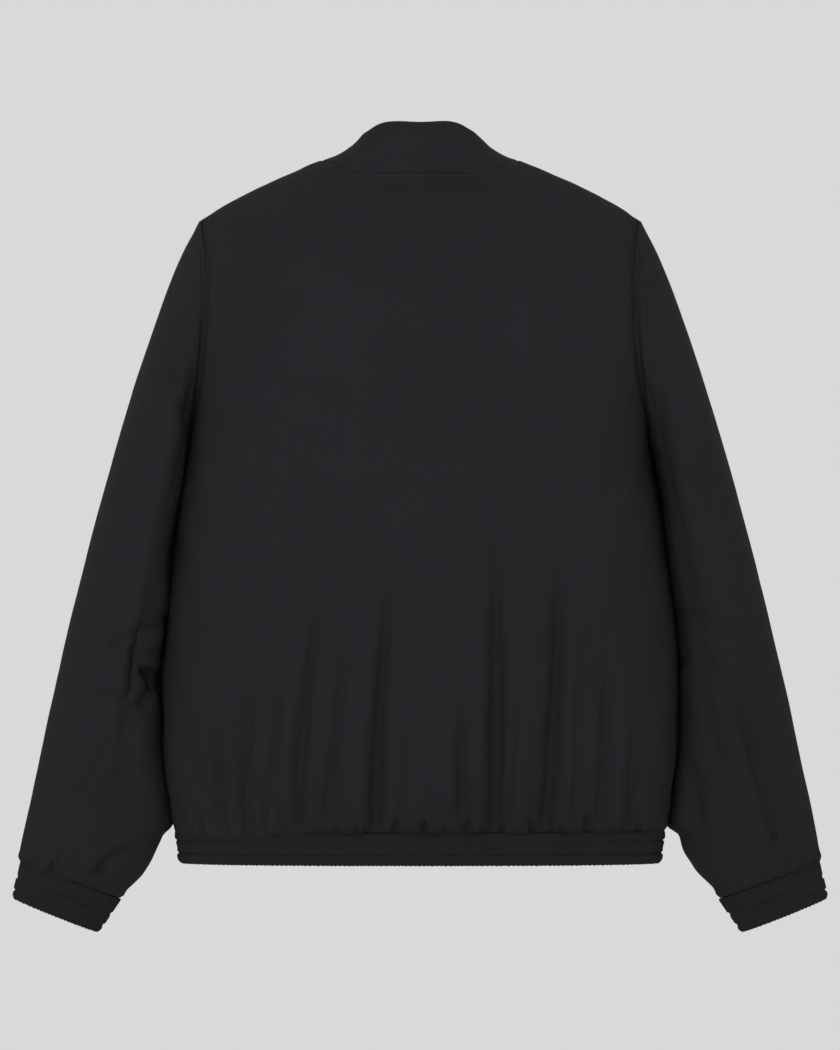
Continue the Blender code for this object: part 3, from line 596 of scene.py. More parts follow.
FRONT_PUCKERS = table("""
     place  tall  width  depth
    0.2080 0.014 0.0028 0.0026
    0.1830 0.020 0.0032 0.0041
    0.1480 0.013 0.0026 0.0026
    0.1060 0.019 0.0034 0.0043
    0.0640 0.013 0.0026 0.0024
    0.0330 0.012 0.0024 0.0022
""")
RIGHT_PUCKERS = dict(FRONT_PUCKERS, place=0.006 - FRONT_PUCKERS["place"])
left_grid = body_panel("cloth_front_left", "front_left", 100, 196, LEFT_FRONT_CREASES,
                       FRONT_PUCKERS, 21)
right_grid = body_panel("cloth_front_right", "front_right", 100, 196, RIGHT_FRONT_CREASES,
                        RIGHT_PUCKERS, 31)


# ------------------------------------------------------------------ the sleeves
# Two-piece sleeves of the same cloth: a top sleeve and a narrower under sleeve, joined by
# a seam down the back of the arm and one down its inner side. They hang with a crumpled
# elbow and with soft folds above the cuffs.
LEFT_SLEEVE_BACK = table("""
     top_x  top_z  low_x  low_z     bow   width  depth
    0.2790 -0.240 0.2740 -0.560  0.0040  0.0110 0.0022
    0.2560 -0.200 0.2700 -0.390 -0.0050 -0.0100 0.0022
    0.2950 -0.290 0.3190 -0.520  0.0040  0.0110 0.0020
    0.2330 -0.110 0.2270 -0.250  0.0030  0.0065 0.0022
    0.2450 -0.430 0.2960 -0.452  0.0050  0.0065 0.0036
    0.2480 -0.462 0.2800 -0.452 -0.0020  0.0055 0.0034
    0.2490 -0.474 0.2720 -0.512  0.0030  0.0060 0.0059
    0.2720 -0.470 0.2560 -0.512 -0.0020 -0.0050 0.0042
    0.2600 -0.512 0.3100 -0.500  0.0040  0.0070 0.0028
    0.2700 -0.402 0.3100 -0.418  0.0030  0.0070 0.0020
    0.3000 -0.540 0.3330 -0.600 -0.0040  0.0070 0.0022
    0.2820 -0.560 0.3050 -0.650  0.0040  0.0070 0.0025
    0.2680 -0.641 0.3165 -0.683  0.0080  0.0055 0.0060
    0.3640 -0.628 0.3650 -0.664  0.0000  0.0030 0.0025
    0.3467 -0.640 0.3480 -0.668  0.0000  0.0028 0.0022
    0.3280 -0.645 0.3300 -0.672  0.0010 -0.0026 0.0017
    0.3060 -0.655 0.3090 -0.682  0.0000  0.0026 0.0017
""")
LEFT_SLEEVE_FRONT = table("""
     top_x  top_z  low_x  low_z     bow   width  depth
    0.2500 -0.150 0.2750 -0.380  0.0060  0.0110 0.0025
    0.2850 -0.250 0.3050 -0.430 -0.0040 -0.0110 0.0020
    0.2380 -0.400 0.3000 -0.430  0.0060  0.0080 0.0048
    0.2450 -0.440 0.3050 -0.455 -0.0040  0.0070 0.0050
    0.2500 -0.480 0.3000 -0.478  0.0050 -0.0075 0.0042
    0.2600 -0.510 0.3150 -0.498  0.0040  0.0080 0.0028
    0.2850 -0.540 0.3200 -0.640 -0.0050  0.0085 0.0028
    0.3400 -0.560 0.3550 -0.650  0.0030  0.0070 0.0022
    0.3200 -0.640 0.3230 -0.675  0.0000  0.0030 0.0022
    0.3500 -0.635 0.3520 -0.668  0.0000 -0.0030 0.0022
""")
RIGHT_SLEEVE_BACK = table("""
      top_x  top_z   low_x  low_z     bow   width  depth
    -0.2240 -0.080 -0.2165 -0.190  0.0020  0.0055 0.0028
    -0.2300 -0.180 -0.2420 -0.330  0.0050 -0.0085 0.0025
    -0.2560 -0.160 -0.2800 -0.380 -0.0050  0.0120 0.0022
    -0.2900 -0.300 -0.3150 -0.500  0.0040 -0.0110 0.0020
    -0.2450 -0.425 -0.2900 -0.438 -0.0040  0.0075 0.0036
    -0.2480 -0.470 -0.2960 -0.462  0.0040  0.0070 0.0028
    -0.2968 -0.500 -0.3476 -0.666 -0.0040  0.0075 0.0070
    -0.3070 -0.515 -0.3590 -0.660 -0.0050 -0.0075 0.0044
    -0.2642 -0.562 -0.2690 -0.634  0.0020  0.0070 0.0050
    -0.2760 -0.520 -0.3000 -0.600  0.0030  0.0080 0.0020
    -0.2850 -0.600 -0.3120 -0.680 -0.0020  0.0050 0.0025
    -0.3640 -0.630 -0.3650 -0.664  0.0000  0.0030 0.0022
    -0.3330 -0.640 -0.3350 -0.672  0.0010  0.0028 0.0020
    -0.3000 -0.650 -0.3030 -0.684  0.0000 -0.0026 0.0020
""")
RIGHT_SLEEVE_FRONT = table("""
      top_x  top_z   low_x  low_z     bow  width  depth
    -0.2500 -0.145 -0.2760 -0.370 -0.0060 0.0110 0.0025
    -0.2860 -0.260 -0.3060 -0.440  0.0040 0.0110 0.0020
    -0.2390 -0.405 -0.3000 -0.440 -0.0060 0.0080 0.0048
    -0.2460 -0.450 -0.3050 -0.465  0.0040 0.0070 0.0048
    -0.2520 -0.492 -0.3000 -0.488 -0.0050 0.0080 0.0039
    -0.2850 -0.540 -0.3240 -0.640  0.0050 0.0085 0.0028
    -0.3400 -0.560 -0.3560 -0.650 -0.0030 0.0070 0.0022
    -0.3210 -0.640 -0.3240 -0.675  0.0000 0.0030 0.0022
    -0.3500 -0.635 -0.3530 -0.668  0.0000 0.0030 0.0020
""")


def gaps_to_body(grid, side, out):
    """How far each point of a sleeve is from the body beside it, level with it."""
    points, quads = [], []
    for panel in (back_grid, left_grid, right_grid):
        rows, columns = panel.shape[:2]
        number = np.arange(rows * columns).reshape(rows, columns) + len(points)
        points.extend(panel.reshape(-1, 3).tolist())
        quads.extend(np.stack([number[:-1, :-1], number[:-1, 1:], number[1:, 1:], number[1:, :-1]],
                              axis=2).reshape(-1, 4).tolist())
    body = BVHTree.FromPolygons(points, quads)
    gaps = np.full(grid.shape[:2], 1.0)
    for place in np.argwhere(out[..., 0] * side < -0.3):
        start = Vector(grid[tuple(place)]) + Vector((side * 0.01, 0, 0))
        distance = body.ray_cast(start, (-side, 0, 0), 0.04)[3]
        if distance is not None:
            gaps[tuple(place)] = distance - 0.01
    return gaps


PRESSED = 0.0014          # how far a sleeve is pressed against the body
LEVELS = np.arange(-0.66, -0.22, 0.008)
PARTS = -0.634            # height at which the sleeves part from the body


def against_body(grid, side, out):
    """How far to draw a sleeve's inner side in, so that it lies against the body."""
    gaps, level = gaps_to_body(grid, side, out), np.digitize(grid[..., 2], LEVELS)
    least = np.array([gaps[level == number].min(initial=1.0)
                      for number in range(len(LEVELS) + 1)])
    least = np.where(least < 0.02, least + PRESSED, 0.0)
    smooth = least.copy()
    for _ in range(2):
        smooth[1:-1] = smooth[1:-1] / 2 + (smooth[:-2] + smooth[2:]) / 4
    smooth = np.maximum(smooth, least)
    draw = np.interp(grid[..., 2], LEVELS - 0.004, smooth[:-1])
    draw *= kept_at_edges(grid, 0.003, (0, 1)) * kept_at_edges(grid, 0.016, (2, 3))
    draw *= smooth_step((grid[..., 2] - PARTS) / 0.014)
    return draw * smooth_step((-side * out[..., 0] - 0.35) / 0.5)


# How far the sleeves are squared out behind, where they meet the body.
FULLNESS = {1: 0.0095, -1: 0.0018}


def pocket(grid, corners, depth):
    """A dent with three corners, given by x and z, where folds meet and leave a dark hollow."""
    points = np.array(corners)
    inside = np.full(grid.shape[:2], np.inf)
    turn = np.sign(np.cross(points[1] - points[0], points[2] - points[0]))
    for start, end in zip(points, np.roll(points, -1, axis=0)):
        run = (end - start) / np.linalg.norm(end - start)
        aside = run[0] * (grid[..., 2] - start[1]) - run[1] * (grid[..., 0] - start[0])
        inside = np.minimum(inside, turn * aside)
    return depth * smooth_step(inside / 0.006 + 0.3)


def sewn_to(grid, others, reach=0.02):
    """Bring a piece's side edges onto the edges that they are sewn to, easing the rest along."""
    first, last = from_edges(grid)[2:]
    for column, distance in ((0, first), (-1, last)):
        edge = grid[:, column]
        nearest = np.linalg.norm(edge[:, None] - others[None], axis=2).argmin(axis=1)
        move = (others[nearest] - edge) * (np.linalg.norm(others[nearest] - edge, axis=1)
                                           < 0.008)[:, None]
        grid = grid + move[:, None] * (1 - smooth_step(distance / reach))[..., None]
    return grid


TAUT = 0.85               # how much smoother the cloth is down the outer side of the arm
SMOOTH_INSIDE = 0.6       # and where it lies against the body
CUFF_PUCKERS = table("""
     place  tall  width  depth
    0.2960 0.010 0.0026 0.0022
    0.3070 0.016 0.0030 0.0032
    0.3190 0.009 0.0024 0.0020
    0.3300 0.014 0.0028 0.0030
    0.3430 0.010 0.0026 0.0024
    0.3530 0.017 0.0030 0.0034
    0.3680 0.011 0.0026 0.0026
    0.3790 0.009 0.0022 0.0016
""")
# The fold that rounds off a sleeve's inner edge above its cuff, given for the left sleeve.
LOWER_EDGE = table("""
     top_x  top_z  low_x  low_z    bow   width  depth
    0.2420 -0.622 0.2920 -0.704 0.0000 -0.0180 0.0038
""")


SLEEVE_ROWS = 150
FOOT_END = (0.3850, -0.6585)        # outer end of a sleeve's low edge, by x and z
FOOT_ALONG = (0.0969, 0.0355)       # and the way that this edge runs
SLEEVE_SWELL, SLEEVE_CRINKLE = 0.0014, 0.0005


def sleeve_grid(node, side, columns, back, front, pockets, seed):
    """The cloth of a sleeve piece, creased by one table behind and another in front."""
    trim = dict(LOWER_EDGE, top_x=side * LOWER_EDGE["top_x"], low_x=side * LOWER_EDGE["low_x"],
                width=side * LOWER_EDGE["width"])
    foot_along = Vector((side * FOOT_ALONG[0], 0, FOOT_ALONG[1]))
    square_to = foot_along.cross(Vector((0, 1, 0)))
    grid = outer_grid(node, (side * FOOT_END[0], 0, FOOT_END[1]), square_to, SHELL_WALL)
    up = np.linspace(0, 1, SLEEVE_ROWS)
    grid = softened(refined(grid, 0.6 * up + 0.4 * up ** 1.8, np.linspace(0, 1, columns)), 60)
    out = normals_of(grid)
    behind = smooth_step(out[..., 1] * 2.2 + 0.5)
    press = crease_depth(grid, back) * behind + crease_depth(grid, front) * (1 - behind)
    for corners, depth in pockets:
        press += pocket(grid, corners, depth) * smooth_step(out[..., 1] * 4)
    uneven = SLEEVE_SWELL * unevenness(grid, seed, 0.075)
    press -= uneven + SLEEVE_CRINKLE * unevenness(grid, seed + 1, 0.026, 1.5)
    press *= kept_at_edges(grid, 0.016, (0, 1))
    press *= 1 - TAUT * smooth_step((side * out[..., 0] - 0.5) / 0.35)
    press *= 1 - SMOOTH_INSIDE * smooth_step((-side * out[..., 0] - 0.7) / 0.25) * smooth_step(
        (grid[..., 2] + 0.63) / 0.02)
    press += crease_depth(grid, trim) * kept_at_edges(grid, 0.010, (0,))
    swell = pucker_swell(grid * (side, 1, 1), CUFF_PUCKERS, seed + 2)
    press -= swell * kept_at_edges(grid, 0.008, (2, 3))
    corner = np.clip(-2 * side * out[..., 0] * out[..., 1], 0, 1) * (out[..., 1] > 0)
    press -= FULLNESS[side] * corner ** 1.3 * kept_at_edges(grid, 0.09, (0, 1))
    press += VALLEY * np.exp(-(from_edges(grid)[1] / VALLEY_WIDE) ** 2) * smooth_step(
        (-0.055 - grid[..., 2]) / 0.03)
    return grid - out * press[..., None], out


def level_with(grid, other):
    """A piece again, its lines level with those of the piece that it is sewn to."""
    lines = np.interp(other[:, 0, 2] + other[:, -1, 2], grid[:, 0, 2] + grid[:, -1, 2],
                      np.arange(len(grid)))
    below = np.minimum(lines.astype(int), len(grid) - 2)
    share = (lines - below)[:, None, None]
    return grid[below] * (1 - share) + grid[below + 1] * share


# Where the seam behind each arm begins to run outwards, and how far out it is at the cuff.
SEAM_RUN = {1: (-0.470, 0.027), -1: (-0.450, 0.038)}
RUN_HEIGHT = 0.205        # height over which it runs out


def seam_moved(under, top, side):
    """Both pieces again, parted where the seam behind the arm runs out towards the cuff."""
    begins, run = SEAM_RUN[side]
    under_first = under[:, -1, 1].mean() > under[:, 0, 1].mean()
    pair = (under, top) if under_first else (top, under)
    around = np.concatenate([pair[0], pair[1][:, 1:]], axis=1)
    along = np.linalg.norm(np.diff(around, axis=1), axis=2).cumsum(axis=1)
    along = np.concatenate([np.zeros((len(along), 1)), along], axis=1)
    seam = pair[0].shape[1] - 1
    move = run * np.clip((begins - around[:, seam, 2]) / RUN_HEIGHT, 0, 1.1)
    at = along[:, seam] + (move if under_first else -move)

    def read(start, end, count):
        places = start[:, None] + (end - start)[:, None] * np.linspace(0, 1, count)
        return np.stack([[np.interp(place, line, points[:, axis]) for place, line, points
                          in zip(places, along, around)] for axis in range(3)], axis=2)

    first = read(np.zeros(len(at)), at, pair[0].shape[1])
    last = read(at, along[:, -1], pair[1].shape[1])
    return (first, last) if under_first else (last, first)


ON_SHOULDER = -0.08       # the shoulder points lie above this height


def seams_dipped(grid):
    """Dip a sleeve piece towards its seams, but not where they meet at the shoulder point."""
    point = grid[-1, grid[-1, :, 2].argmax()]
    to_point = np.linalg.norm(grid - point, axis=2)
    dip = dip_at_seams(grid, to_point) - rise_at_point(to_point) * (point[2] > ON_SHOULDER)
    return grid - normals_of(grid) * dip[..., None]


def sleeve_piece(name, node, grid):
    both_ends = tucked(tucked(grid)[::-1, ::-1])[::-1, ::-1]
    piece = cloth(name, both_ends, SHELL_THICKNESS)
    shell.put_on(piece)
    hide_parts(node)


TOP_COLUMNS, UNDER_COLUMNS = 150, 80
LEFT_POCKETS = [(((0.2745, -0.4695), (0.2450, -0.4740), (0.2465, -0.5160)), 0.0140),
                (((0.2610, -0.4200), (0.2420, -0.4220), (0.2450, -0.4470)), 0.0090)]
RIGHT_POCKETS = [(((-0.2640, -0.4580), (-0.2460, -0.4640), (-0.2470, -0.4900)), 0.0080)]
for side, word, back, front, pockets in (
        (1, "left", LEFT_SLEEVE_BACK, LEFT_SLEEVE_FRONT, LEFT_POCKETS),
        (-1, "right", RIGHT_SLEEVE_BACK, RIGHT_SLEEVE_FRONT, RIGHT_POCKETS)):
    folds = back, front, pockets, 50 + side
    top, _ = sleeve_grid(f"sleeve_{word}_top", side, TOP_COLUMNS, *folds)
    under, out = sleeve_grid(f"sleeve_{word}_under", side, UNDER_COLUMNS, *folds)
    under[..., 0] -= side * against_body(under, side, out)
    under = level_with(under, top)
    steps = np.linspace(0, SLEEVE_ROWS - 1, 1200)
    edges = [np.column_stack([np.interp(steps, np.arange(SLEEVE_ROWS), top[:, column, axis])
                              for axis in range(3)]) for column in (0, -1)]
    under = sewn_to(under, np.concatenate(edges))
    under, top = (seams_dipped(grid) for grid in seam_moved(under, top, side))
    sleeve_piece(f"cloth_sleeve_{word}_top", f"sleeve_{word}_top", top)
    sleeve_piece(f"cloth_sleeve_{word}_under", f"sleeve_{word}_under", under)


# ------------------------------------------------------------------ the collar
# A stand collar of the shell cloth, folded double over a soft interlining, so its upper
# edge is a thick rounded fold. It is sewn into the neck seam all round.
COLLAR_THICKNESS = 0.0026
COLLAR_ROLL = 0.0016      # how far its folded edges turn in
COLLAR_WALL = 0.0028
COLLAR_FOLD = 0.0016      # height that its thick folded top edge takes up
COLLAR_CREASES = table("""
      top_x  top_z   low_x  low_z     bow   width  depth
     0.0480 0.0190 -0.0100 0.0130  0.0010  0.0040 0.0012
    -0.0150 0.0150 -0.0600 0.0080 -0.0010  0.0045 0.0014
     0.0300 0.0400 -0.0050 0.0370  0.0010 -0.0045 0.0008
""")
grid = outer_grid("collar", (0.0045, 0, 0), (1, 0, 0), COLLAR_WALL).transpose(1, 0, 2)
if grid[0, 0, 2] > grid[-1, 0, 2]:
    grid = grid[::-1]
if (normals_of(grid)[..., 1] * grid[..., 1]).mean() < 0:
    grid = grid[:, ::-1]
grid = softened(refined(grid, np.linspace(0, 1, 34), np.linspace(0, 1, 210)), 10)
out = normals_of(grid)
low, top, first, last = from_edges(grid)
press = sewn_in(grid, (0,)) + COLLAR_ROLL * np.exp(-(np.minimum(top, np.minimum(first, last))
                                                     / 0.0018) ** 2)
press += crease_depth(grid, COLLAR_CREASES) * (grid[..., 1] > 0) * smooth_step(low / 0.008)
press -= 0.0003 * unevenness(grid, 71, 0.055) * smooth_step(low / 0.01)
press -= 0.00015 * unevenness(grid, 72, 0.018) * smooth_step(low / 0.004)
collar_grid = grid - out * press[..., None]
collar_grid[..., 2] -= COLLAR_FOLD * smooth_step(low / (low + top))
collar = cloth("cloth_collar", collar_grid, COLLAR_THICKNESS)
shell.put_on(collar)
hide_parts("collar")


# ------------------------------------------------------------------ the hem band
# A strip of the shell cloth folded double over wide elastic. Two rows of stitches hold the
# elastic flat, and the cloth between them stands up in fine uneven gathers.
# The band's colours are the shell cloth's made about a tenth darker, as painted shade of its
# gathers.
BAND_SHADED_DARK, BAND_SHADED_LIGHT = (0.0163, 0.0171, 0.0190, 1), (0.0204, 0.0214, 0.0237, 1)
shaded_band_cloth = woven("shaded_band_cloth", BAND_SHADED_DARK, BAND_SHADED_LIGHT, 0.18)
GATHER_STEP = (0.0029, 0.0056)      # least and most distance between two gathers
GATHER_HEIGHT = (0.0005, 0.0013)


def gathered(grid, rows, roll, seed, closed=False):
    """Stand a strip's cloth up in gathers between its rows of stitches.

    rows are the stitches' distances from the low edge, and roll is how far the folded low
    edge turns in."""
    rng = np.random.default_rng(seed)
    length = mean_lengths(grid, 1)
    places = [0.0]
    while places[-1] < length[-1] + 0.004:
        places.append(places[-1] + rng.uniform(*GATHER_STEP))
    places = np.array(places)
    if closed:
        places *= length[-1] / places[-2]
    up, top = from_edges(grid)[:2]
    height = np.zeros(grid.shape[:2])
    levels = [-0.004, *rows, up.max() + 0.002]
    for level, (low, high) in enumerate(zip(levels, levels[1:])):
        tall = rng.uniform(*GATHER_HEIGHT, len(places))
        drift = rng.uniform(-0.0011, 0.0011, len(places))
        if closed:
            tall[-2:], drift[-2:] = tall[:2], drift[:2]
        inside = smooth_step((up - low) / 0.0022) * smooth_step((high - up) / 0.0022)
        share = (up - low) / (high - low) - 0.5
        at = np.clip(length[None, :] + share * np.interp(length, places, drift)[None, :], 0, None)
        number = np.clip(np.searchsorted(places, at, side="right") - 1, 0, len(places) - 2)
        between = (at - places[number]) / (places[number + 1] - places[number])
        ridge = np.abs(np.sin(math.pi * between)) ** 0.8 * tall[number]
        height += inside * (ridge + 0.0004)
    height -= 0.0005 * sum(np.exp(-((up - row) / 0.0009) ** 2) for row in rows)
    height -= roll * np.exp(-(up / 0.0020) ** 2) + 0.0003 * np.exp(-(top / 0.0014) ** 2)
    number = np.clip(np.searchsorted(places, length, side="right") - 1, 0, len(places) - 2)
    between = (length - places[number]) / (places[number + 1] - places[number])
    scallop = 0.0006 * (np.abs(np.sin(math.pi * between)) - 0.5) * (0.4 + 0.6 * (number % 3 > 0))
    down = (grid[0] - grid[2]) / np.linalg.norm(grid[0] - grid[2], axis=1)[:, None]
    scallops = (down * scallop[:, None])[None] * np.exp(-(up / 0.0030) ** 2)[..., None]
    return grid + normals_of(grid) * height[..., None] + scallops


def along_row(grid, distance):
    """The line along a strip at a distance from its low edge, and the directions out of it."""
    share = distance / mean_lengths(grid, 0)[-1]
    row = int(round(share * (grid.shape[0] - 1)))
    return grid[row], normals_of(grid)[row]


def repeated(name, model, places, along, out, offset=0.0):
    """Copy a small model to many places, turned to follow a line, as one joined mesh."""
    points = np.array([point.co for point in model.data.vertices])
    faces = [tuple(face.vertices) for face in model.data.polygons]
    bpy.data.objects.remove(model)
    along = along / np.linalg.norm(along, axis=1)[:, None]
    side = np.cross(out, along)
    side /= np.linalg.norm(side, axis=1)[:, None]
    out = np.cross(along, side)
    turn = np.stack([along, side, out], axis=2)
    placed = np.einsum("nij,pj->npi", turn, points) + (places + out * offset)[:, None, :]
    mesh = bpy.data.meshes.new(name)
    count = len(points)
    mesh.from_pydata(placed.reshape(-1, 3).tolist(), [],
                     [tuple(number + copy * count for number in face)
                      for copy in range(len(places)) for face in faces])
    joined = bpy.data.objects.new(name, mesh)
    bpy.context.scene.collection.objects.link(joined)
    mesh.shade_smooth()
    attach(joined, "jacket")
    return joined


thread = Finish("thread")
place = thread.node("ShaderNodeTexCoord", {}, output=3)
thread.set(Base_Color=thread.mixed(thread.noise(place, 900.0), (0.009, 0.009, 0.010, 1),
                                   (0.020, 0.020, 0.022, 1)),
           Roughness=0.5, Specular_IOR_Level=0.25)
STITCH, STITCH_STEP = 0.0024, 0.0031
STITCH_WIDTH = 0.00055


def stitched(name, line, out, slot="band", closed=False):
    """A row of lock stitches along a line on the cloth."""
    lengths = np.concatenate([[0], np.linalg.norm(np.diff(line, axis=0), axis=1).cumsum()])
    at = np.arange(STITCH_STEP / 2, lengths[-1] - (0 if closed else STITCH), STITCH_STEP)

    def read(values, places):
        return np.column_stack([np.interp(places, lengths, values[:, axis]) for axis in range(3)])

    start, end = read(line, at), read(line, at + STITCH)
    bpy.ops.object.select_all(action="DESELECT")
    bpy.ops.mesh.primitive_uv_sphere_add(segments=6, ring_count=4, radius=0.5)
    model = bpy.context.object
    bpy.ops.object.mode_set(mode="EDIT")
    bpy.ops.transform.resize(value=(STITCH, STITCH_WIDTH, STITCH_WIDTH * 1.1))
    bpy.ops.object.mode_set(mode="OBJECT")
    row = repeated(name, model, (start + end) / 2, end - start, read(out, at + STITCH / 2),
                   STITCH_WIDTH * 0.2)
    thread.put_on(row)
    return row


BAND_STITCHES = (0.0106, 0.0232)    # above the folded edge
BAND_TAPER = 0.016        # how much narrower the band is at its folded edge
grid = outer_grid("hem_band", (0, 0, -0.66), (0, 0, 1))[:, ::2]
up = np.linspace(0, 1, 22)
grid = refined(grid, up, np.linspace(0, 1, 1500))
grid[..., :2] *= 1 - BAND_TAPER * (1 - up)[:, None, None]
band_grid = gathered(grid, BAND_STITCHES, 0.0020, 81)
hem_band = cloth("cloth_hem_band", band_grid, 0.0020)
shaded_band_cloth.put_on(hem_band)
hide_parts("hem_band")
rows = [stitched(f"band_stitches_{number}", *along_row(band_grid, distance))
        for number, distance in enumerate(BAND_STITCHES)]


# ------------------------------------------------------------------ the cuffs
# Elastic cuffs made like the hem band: a loop of shell cloth folded over elastic, with two
# rows of stitches and fine gathers.
CUFF_STITCHES = (0.0085, 0.0215)
CUFF_OUTER, CUFF_INNER = (0.3900, -0.6914), (0.3083, -0.7240)    # ends of its open edge, x and z
CUFF_LONGER = 0.12        # share of a cuff's height that its open edge is let down by
for side, word, seed in ((1, "left", 91), (-1, "right", 92)):
    low, high = (Vector((side * x, 0, z)) for x, z in (CUFF_OUTER, CUFF_INNER))
    square_to = (high - low).cross(Vector((0, 1, 0)))
    grid = outer_grid(f"cuff_{word}", low, square_to, closed=True)[:, ::2]
    grid = np.concatenate([grid[:, -2:], grid, grid[:, :3]], axis=1)
    columns = mean_lengths(grid, 1)
    begin, end = columns[2] / columns[-1], columns[-3] / columns[-1]
    grid = refined(grid, np.linspace(0, 1, 22), np.linspace(begin, end, 361))
    up, down = from_edges(grid)[0], (grid[:1] - grid[-1:]).mean(axis=(0, 1))
    grid += down * (1 - up / up[-1:])[..., None] * CUFF_LONGER
    grid = gathered(grid, CUFF_STITCHES, 0.0020, seed, closed=True)
    grid[:, -1] = grid[:, 0]
    cuff = cloth(f"cloth_cuff_{word}", grid, 0.0020, closed=True)
    # The cuffs take the band's cloth, with its painted shade.
    shaded_band_cloth.put_on(cuff)
    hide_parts(f"cuff_{word}")
    rows = [stitched(f"cuff_{word}_stitches_{number}", *along_row(grid, distance), closed=True)
            for number, distance in enumerate(CUFF_STITCHES)]


# ------------------------------------------------------------------ the zip
# A closed zip up the centre front: two woven tapes behind the fronts' edges, a row of
# moulded teeth on each, and a coated metal slider whose pull tab hangs from its loop.
tape_cloth = woven("zip_tape_cloth", (0.015, 0.015, 0.016, 1), (0.020, 0.020, 0.022, 1), 0.05)
TAPE_EDGES = (0.0033, 0.0160)       # of the CAD tape, which stops beside the teeth
for side, word in ((1, "left"), (-1, "right")):
    node = f"zip_tape_{word}"
    grid = outer_grid(node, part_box(node)[0], (0, 0, 1), facing=(0, -1, 0))
    grid = refined(grid, np.linspace(0, 1, 260), np.linspace(0, 1, 13))
    grid[..., 0] = side * np.interp(side * grid[..., 0], TAPE_EDGES, (0.0002, TAPE_EDGES[1]))
    ribs = 0.00012 * np.cos(np.linspace(0, 6 * math.pi, 13))
    tape = cloth(f"woven_tape_{word}", grid + normals_of(grid) * ribs[None, :, None], 0.0007)
    tape_cloth.put_on(tape)
    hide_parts(node)

ZIP_STITCHES = 0.0065     # from a front's edge to the row of stitches that holds the tape
for word, grid in (("left", left_grid), ("right", right_grid)):
    first, last = from_edges(grid)[2:]
    across = first if abs(grid[0, 0, 0]) < abs(grid[0, -1, 0]) else last
    column = int(np.abs(across.mean(axis=0) - ZIP_STITCHES).argmin())
    stitched(f"zip_stitches_{word}", grid[:, column], normals_of(grid)[:, column], slot="shell")

moulded = Finish("moulded_teeth")
place = moulded.node("ShaderNodeTexCoord", {}, output=3)
moulded.set(Base_Color=moulded.mixed(moulded.noise(place, 300.0), (0.010, 0.010, 0.011, 1),
                                     (0.022, 0.022, 0.024, 1)),
            Roughness=0.36 + (moulded.noise(place, 700.0) - 0.5) * 0.2)
TOOTH_STEP = 0.0026
chain = outer_grid("zip_chain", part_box("zip_chain")[0], (0, 0, 1), facing=(0, -1, 0))
line = refined(chain, np.linspace(0, 1, 900), np.array([0.0, 0.5, 1.0]))
out = normals_of(line)[:, 1]
line = line[:, 1]
along = np.gradient(line, axis=0)
lengths = np.concatenate([[0], np.linalg.norm(np.diff(line, axis=0), axis=1).cumsum()])
teeth = []
for side in (1, -1):
    start = TOOTH_STEP * (0.5 if side > 0 else 1.0)
    at = np.arange(start, lengths[-1] - 0.0006, TOOTH_STEP)
    number = np.searchsorted(lengths, at)
    bpy.ops.object.select_all(action="DESELECT")
    bpy.ops.mesh.primitive_cube_add(size=1)
    tooth = bpy.context.object
    bpy.ops.object.mode_set(mode="EDIT")
    bpy.ops.transform.resize(value=(TOOTH_STEP * 0.50, 0.0034, 0.0022))
    bpy.ops.transform.translate(value=(0, side * 0.0012, -0.0011))
    bpy.ops.mesh.bevel(offset=0.00035, segments=1)
    bpy.ops.object.mode_set(mode="OBJECT")
    teeth.append(repeated(f"teeth_{'left' if side > 0 else 'right'}", tooth, line[number],
                          along[number], out[number]))
for row in teeth:
    moulded.put_on(row)
    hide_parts("zip_chain")

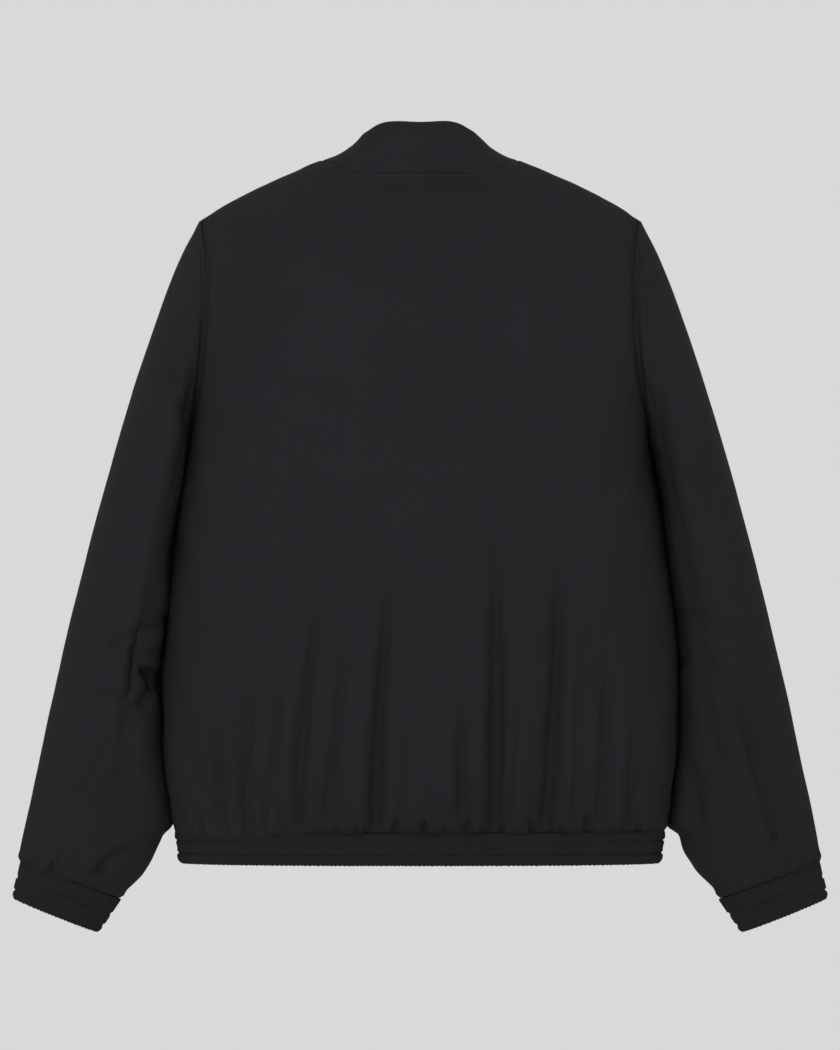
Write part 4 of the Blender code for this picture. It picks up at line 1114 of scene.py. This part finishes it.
coated = Finish("coated_metal")
place = coated.node("ShaderNodeTexCoord", {}, output=3)
scuffs = coated.noise(place, 260.0, 4.0)
coated.set(Base_Color=coated.mixed(scuffs, (0.025, 0.025, 0.027, 1), (0.060, 0.060, 0.064, 1)),
           Roughness=0.30 + (scuffs - 0.5) * 0.25, Metallic=0.9)
for node in ("zip_slider", "zip_pull"):
    coated.put_on(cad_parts[node])


# ------------------------------------------------------------------ the studio
# A pale floor well below the jacket, an even pale grey surround, and two large soft lights:
# one beside the camera and above it, and a weaker one on the hidden front.
BACKDROP = 0.694
FLOOR_HEIGHT = -1.0
bpy.ops.object.select_all(action="DESELECT")
bpy.ops.mesh.primitive_plane_add(size=5.4, location=(0, 0, FLOOR_HEIGHT))
floor = bpy.context.object
floor.name = "floor"
pale = Finish("floor_paint")
place = pale.node("ShaderNodeTexCoord", {}, output=3)
mottled = pale.mixed(pale.noise(place, 2.0), (0.80, 0.80, 0.80, 1), (0.84, 0.84, 0.84, 1))
pale.set(Base_Color=mottled, Roughness=0.9)
pale.put_on(floor)

world = bpy.data.worlds.new("surround")
bpy.context.scene.world = world
world.use_nodes = True
sky = world.node_tree.nodes["Background"]
sky.inputs["Color"].default_value = (BACKDROP, BACKDROP, BACKDROP, 1)
sky.inputs["Strength"].default_value = 1.0
bpy.context.scene.view_settings.view_transform = "Standard"

LIGHTS = table("""
      x    y   z size power
    0.9  4.0 0.9  2.4    44
    0.0 -2.8 1.2  2.0    16
""")
for number, (x, y, z, size, power) in enumerate(zip(*LIGHTS.values())):
    lamp = bpy.data.lights.new(f"softbox_{number}", "AREA")
    lamp.size = size
    lamp.energy = power
    light = bpy.data.objects.new(f"softbox_{number}", lamp)
    bpy.context.scene.collection.objects.link(light)
    light.location = (x, y, z)
    towards = Vector((0, 0, -0.30)) - light.location
    light.rotation_euler = towards.to_track_quat("-Z", "Y").to_euler()

CAMERA_AWAY, VIEW_HEIGHT, VIEW_MIDDLE = 9.0, 1.007, -0.3357
lens = bpy.data.cameras.new("camera")
lens.lens = lens.sensor_width * CAMERA_AWAY / VIEW_HEIGHT
camera = bpy.data.objects.new("camera", lens)
bpy.context.scene.collection.objects.link(camera)
camera.location = (0, CAMERA_AWAY, VIEW_MIDDLE)
camera.rotation_euler = (math.pi / 2, 0, math.pi)
bpy.context.scene.camera = camera
